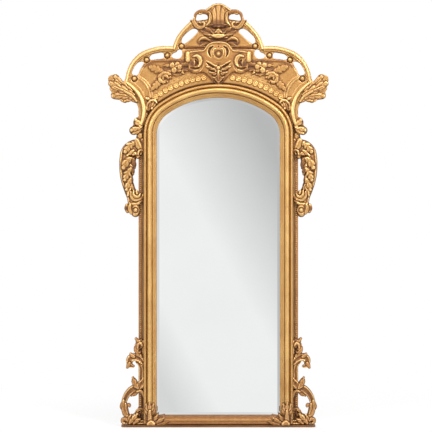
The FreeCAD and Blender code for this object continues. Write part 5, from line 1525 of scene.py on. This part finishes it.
def lower_corners(material):
    for name, side in SIDES.items():
        relief = Relief(*CORNER_WINDOW)
        relief.strokes(CORNER_FLOOR_PX)
        relief.strokes(CORNER_SCROLLS_PX, hollowed)
        relief.leaves(CORNER_LEAVES_PX)
        relief.grooves(CORNER_GROOVES_PX)
        relief.painted_shades(CORNER_SHADES_PX)
        relief.strokes(CORNER_PEARLS_PX)
        relief.trim(relief.z - PLINTH_TOP)
        node = f"corner_scroll_{name}"
        carve(f"{node}_gilt", relief, BRACKET_BASE, bracket_back, material, [node], side, CORNER_GLAZE)
        leaf = Relief(*FOOT_LEAF_WINDOW)
        leaf.leaves(FOOT_LEAVES_PX)
        leaf.painted_shades(FOOT_SHADES_PX)
        leaf.trim(leaf.z - PLINTH_TOP)
        piece, nodes = f"corner_leaf_{name}_gilt", ["corner_leaves"]
        carve(piece, leaf, FOOT_LEAF_BASE, FOOT_LEAF_BACK, material, nodes, side, FOOT_LEAF_GLAZE)


# Turned studs: radius and height from the rim to the top
COIN_SECTION = [
    (12.6, 0), (13.4, 3), (12.8, 5.2), (11.2, 6.2), (9.4, 5.4), (8, 3.4), (6.4, 2.8), (4.8, 3.8),
    (2.8, 4.8), (0.3, 5),
]
COIN_GLAZE = 0.06
PEARL_SECTION = [
    (10, 0), (10.6, 2), (9.4, 3.2), (8.6, 3.4), (9, 6), (8, 9), (6.2, 11.2), (3.8, 12.6), (1.4, 13.2),
    (0.3, 13.2),
]
STUD_SEGMENTS = 20


def turned_studs(material):
    coins = [(side * u, CREST_FRONT, z) for side in SIDES.values() for u, z in coin_places()]
    pearls = [(side * u, CREST_FRONT, z) for u, z in millimetres(PEARLS_PX) for side in SIDES.values()]
    studs("coins", COIN_SECTION, coins, material, ["coin_band"], STUD_SEGMENTS, COIN_GLAZE)
    studs("pearls", PEARL_SECTION, pearls, material, ["gallery_pearls"], STUD_SEGMENTS)


# Pieces that keep their own shape; sizes here and below are metres
EDGE_WIDTH = 0.0006
EDGE_SEGMENTS = 2
EASED_SLOTS = ("brass", "gilt")


def finish_node(piece, material, ease):
    """Give a piece of the frame its material, and break its sharp edges where it shows."""
    piece.data.materials.clear()
    piece.data.materials.append(material)
    if ease:
        bevel = piece.modifiers.new("eased edges", "BEVEL")
        bevel.width = EDGE_WIDTH
        bevel.segments = EDGE_SEGMENTS
        bevel.limit_method = "ANGLE"


def plain_nodes():
    materials = {
        "bare_wood": bare_wood(),
        "silvered_glass": silvered_glass(),
        "steel": worked_metal("steel", linear(176, 176, 172), linear(128, 128, 126), 300.0, 0.3),
        "brass": worked_metal("brass", linear(206, 168, 92), linear(150, 116, 60), 260.0, 0.32),
        "felt": felt(),
        # The plinth's gilding is the shaded copy: painted shade at the foot
        "gilt": gilding("gilding_plinth_shaded", *PLINTH_SHADED_GOLD),
    }
    for row in frame["record"]["subparts"]:
        piece, slot = frame["nodes"][row["node"]], row["material_slot"]
        if not piece.hide_render:
            finish_node(piece, materials[slot], slot in EASED_SLOTS)


# Camera: how far it stands from the middle of the frame, and how far forward of that PIXEL holds
CAMERA_DISTANCE = 8.0
FRAMED_DEPTH = 0.03
CAMERA_X = (IMAGE_PX / 2 - MIDDLE_PX) * PIXEL * MILLIMETRE
CAMERA_Z = (FLOOR_PX - IMAGE_PX / 2) * PIXEL * MILLIMETRE
SENSOR_WIDTH = 36.0

# Light: the level of the surroundings, and lamps by name, place, target, width and power
WHITE = (1.0, 1.0, 1.0, 1.0)
AMBIENT = 0.4
MIDDLE = (0.0, 0.0, 1.1)
LAMPS = [
    ("key", (2.6, -3.8, 4.0), MIDDLE, 1.2, 170.0),
    ("fill", (-3.0, -4.2, 2.8), MIDDLE, 1.6, 80.0),
    ("top", (0.2, -1.6, 4.4), (0.0, 0.0, 1.6), 2.0, 50.0),
    ("back", (-1.6, 4.0, 2.8), MIDDLE, 2.4, 120.0),
]

# Floor: its reach and colour, and how its glow grows from near the object to white further off
FLOOR_REACH = 30.0
FLOOR_COLOUR = (0.9, 0.9, 0.9, 1.0)
FLOOR_ROUGHNESS = 0.9
FLOOR_FADE = (0.5, 2.2)
FLOOR_GLOW = (0.7, 1.0)

# Card: its level along a slanting line, as a ramp at each end, and the distances over which it turns white
CARD_DISTANCE = 8.6
CARD_REACH = 14.0
CARD_MIDDLE = 1.05
CARD_SLANT = 0.545
CARD_UPPER = (-0.17, 0.95, 0.94, 0.527)
CARD_LOWER = (-1.53, -1.06, 0.73, 0.94)
CARD_FADE = (1.8, 11.0)


def camera():
    data = bpy.data.cameras.new("camera")
    data.sensor_width = SENSOR_WIDTH
    data.lens = SENSOR_WIDTH * (CAMERA_DISTANCE - FRAMED_DEPTH) / (IMAGE_PX * PIXEL * MILLIMETRE)
    item = link("camera", data, (CAMERA_X, -CAMERA_DISTANCE, CAMERA_Z))
    item.rotation_euler = (math.radians(90), 0, 0)
    bpy.context.scene.camera = item


def lamp(name, place, target, width, power):
    data = bpy.data.lights.new(name, "AREA")
    data.shape = "DISK"
    data.size = width
    data.energy = power
    item = link(name, data, place)
    item.rotation_euler = (Vector(target) - Vector(place)).to_track_quat("-Z", "Y").to_euler()


def world():
    """White behind the object, and a lower level of light from all round."""
    item = bpy.data.worlds.new("studio")
    bpy.context.scene.world = item
    item.use_nodes = True
    nodes = Nodes(item.node_tree)
    inputs = item.node_tree.nodes["Background"].inputs
    nodes.put(inputs["Color"], WHITE)
    nodes.put(inputs["Strength"], nodes.ramp(nodes.background_rays(), 0.0, 1.0, to_low=AMBIENT))


def stage_sheet(name, corners, shading):
    mesh = bpy.data.meshes.new(name)
    mesh.from_pydata(corners, [], [[0, 1, 2, 3]])
    mesh.materials.append(shading.material)
    item = link(name, mesh)
    return item


def floor():
    """A pale floor that takes the object's shadow and turns white away from it."""
    shading = Shading("floor")
    shading.set(base_color=FLOOR_COLOUR, roughness=FLOOR_ROUGHNESS)
    distance = shading.add("ShaderNodeVectorMath", {0: shading.place}, operation="LENGTH").outputs["Value"]
    share = shading.scaled(shading.background_rays(), shading.ramp(distance, *FLOOR_FADE, *FLOOR_GLOW))
    glow = shading.add("ShaderNodeEmission").outputs[0]
    shading.show(shading.add("ShaderNodeMixShader", {0: share, 1: shading.shader.outputs[0], 2: glow}))
    reach = FLOOR_REACH
    corners = [(-reach, -reach, 0), (reach, -reach, 0), (reach, reach, 0), (-reach, reach, 0)]
    stage_sheet("floor", corners, shading).visible_glossy = False


def reflector_card():
    """The pale card in front of the mirror, darker toward two corners, seen only in the glass and gilding."""
    shading = Shading("reflector_card")
    place = shading.add("ShaderNodeSeparateXYZ", {0: shading.place}).outputs
    height = shading.math("SUBTRACT", place["Z"], CARD_MIDDLE, clamp=False)
    along = shading.math("MULTIPLY", height, CARD_SLANT, clamp=False)
    along = shading.math("ADD", along, place["X"], clamp=False)
    level = shading.math("MINIMUM", shading.ramp(along, *CARD_UPPER), shading.ramp(along, *CARD_LOWER))
    middle = {0: shading.place, 1: (0, -CARD_DISTANCE, CARD_MIDDLE)}
    distance = shading.add("ShaderNodeVectorMath", middle, operation="DISTANCE").outputs["Value"]
    level = shading.ramp(distance, *CARD_FADE, to_low=level)
    shading.show(shading.add("ShaderNodeEmission", {"Strength": level}))
    y, reach = -CARD_DISTANCE, CARD_REACH
    low, high = CARD_MIDDLE - reach, CARD_MIDDLE + reach
    corners = [(-reach, y, low), (-reach, y, high), (reach, y, high), (reach, y, low)]
    item = stage_sheet("reflector_card", corners, shading)
    for ray in ("visible_camera", "visible_diffuse", "visible_shadow", "visible_transmission"):
        setattr(item, ray, False)


def stage():
    camera()
    world()
    floor()
    reflector_card()
    for row in LAMPS:
        lamp(*row)
    bpy.context.scene.view_settings.view_transform = "Standard"


def dress():
    gold = gilding("gilding")
    pale = gilding("gilding_pale", *PALE_GOLD)
    # A darker copy of the gold for the corners and the bead strips
    darker_gilding = gilding("gilding_darker", *DARKER_GOLD)
    # A shaded copy of the gold for the ring scrolls: painted shade
    dull = gilding("gilding_shaded", *SHADED_GOLD)
    mouldings(gold)
    bead_strips(darker_gilding)
    ornaments = cartouche(gold) + leaf_sprays(gold) + crest_plume(gold)
    crest_board(gold, ornaments)
    crest_rails(gold, pale, dull)
    side_leaves(gold)
    garlands(gold)
    lower_corners(darker_gilding)
    turned_studs(gold)
    plain_nodes()


dress()
stage()
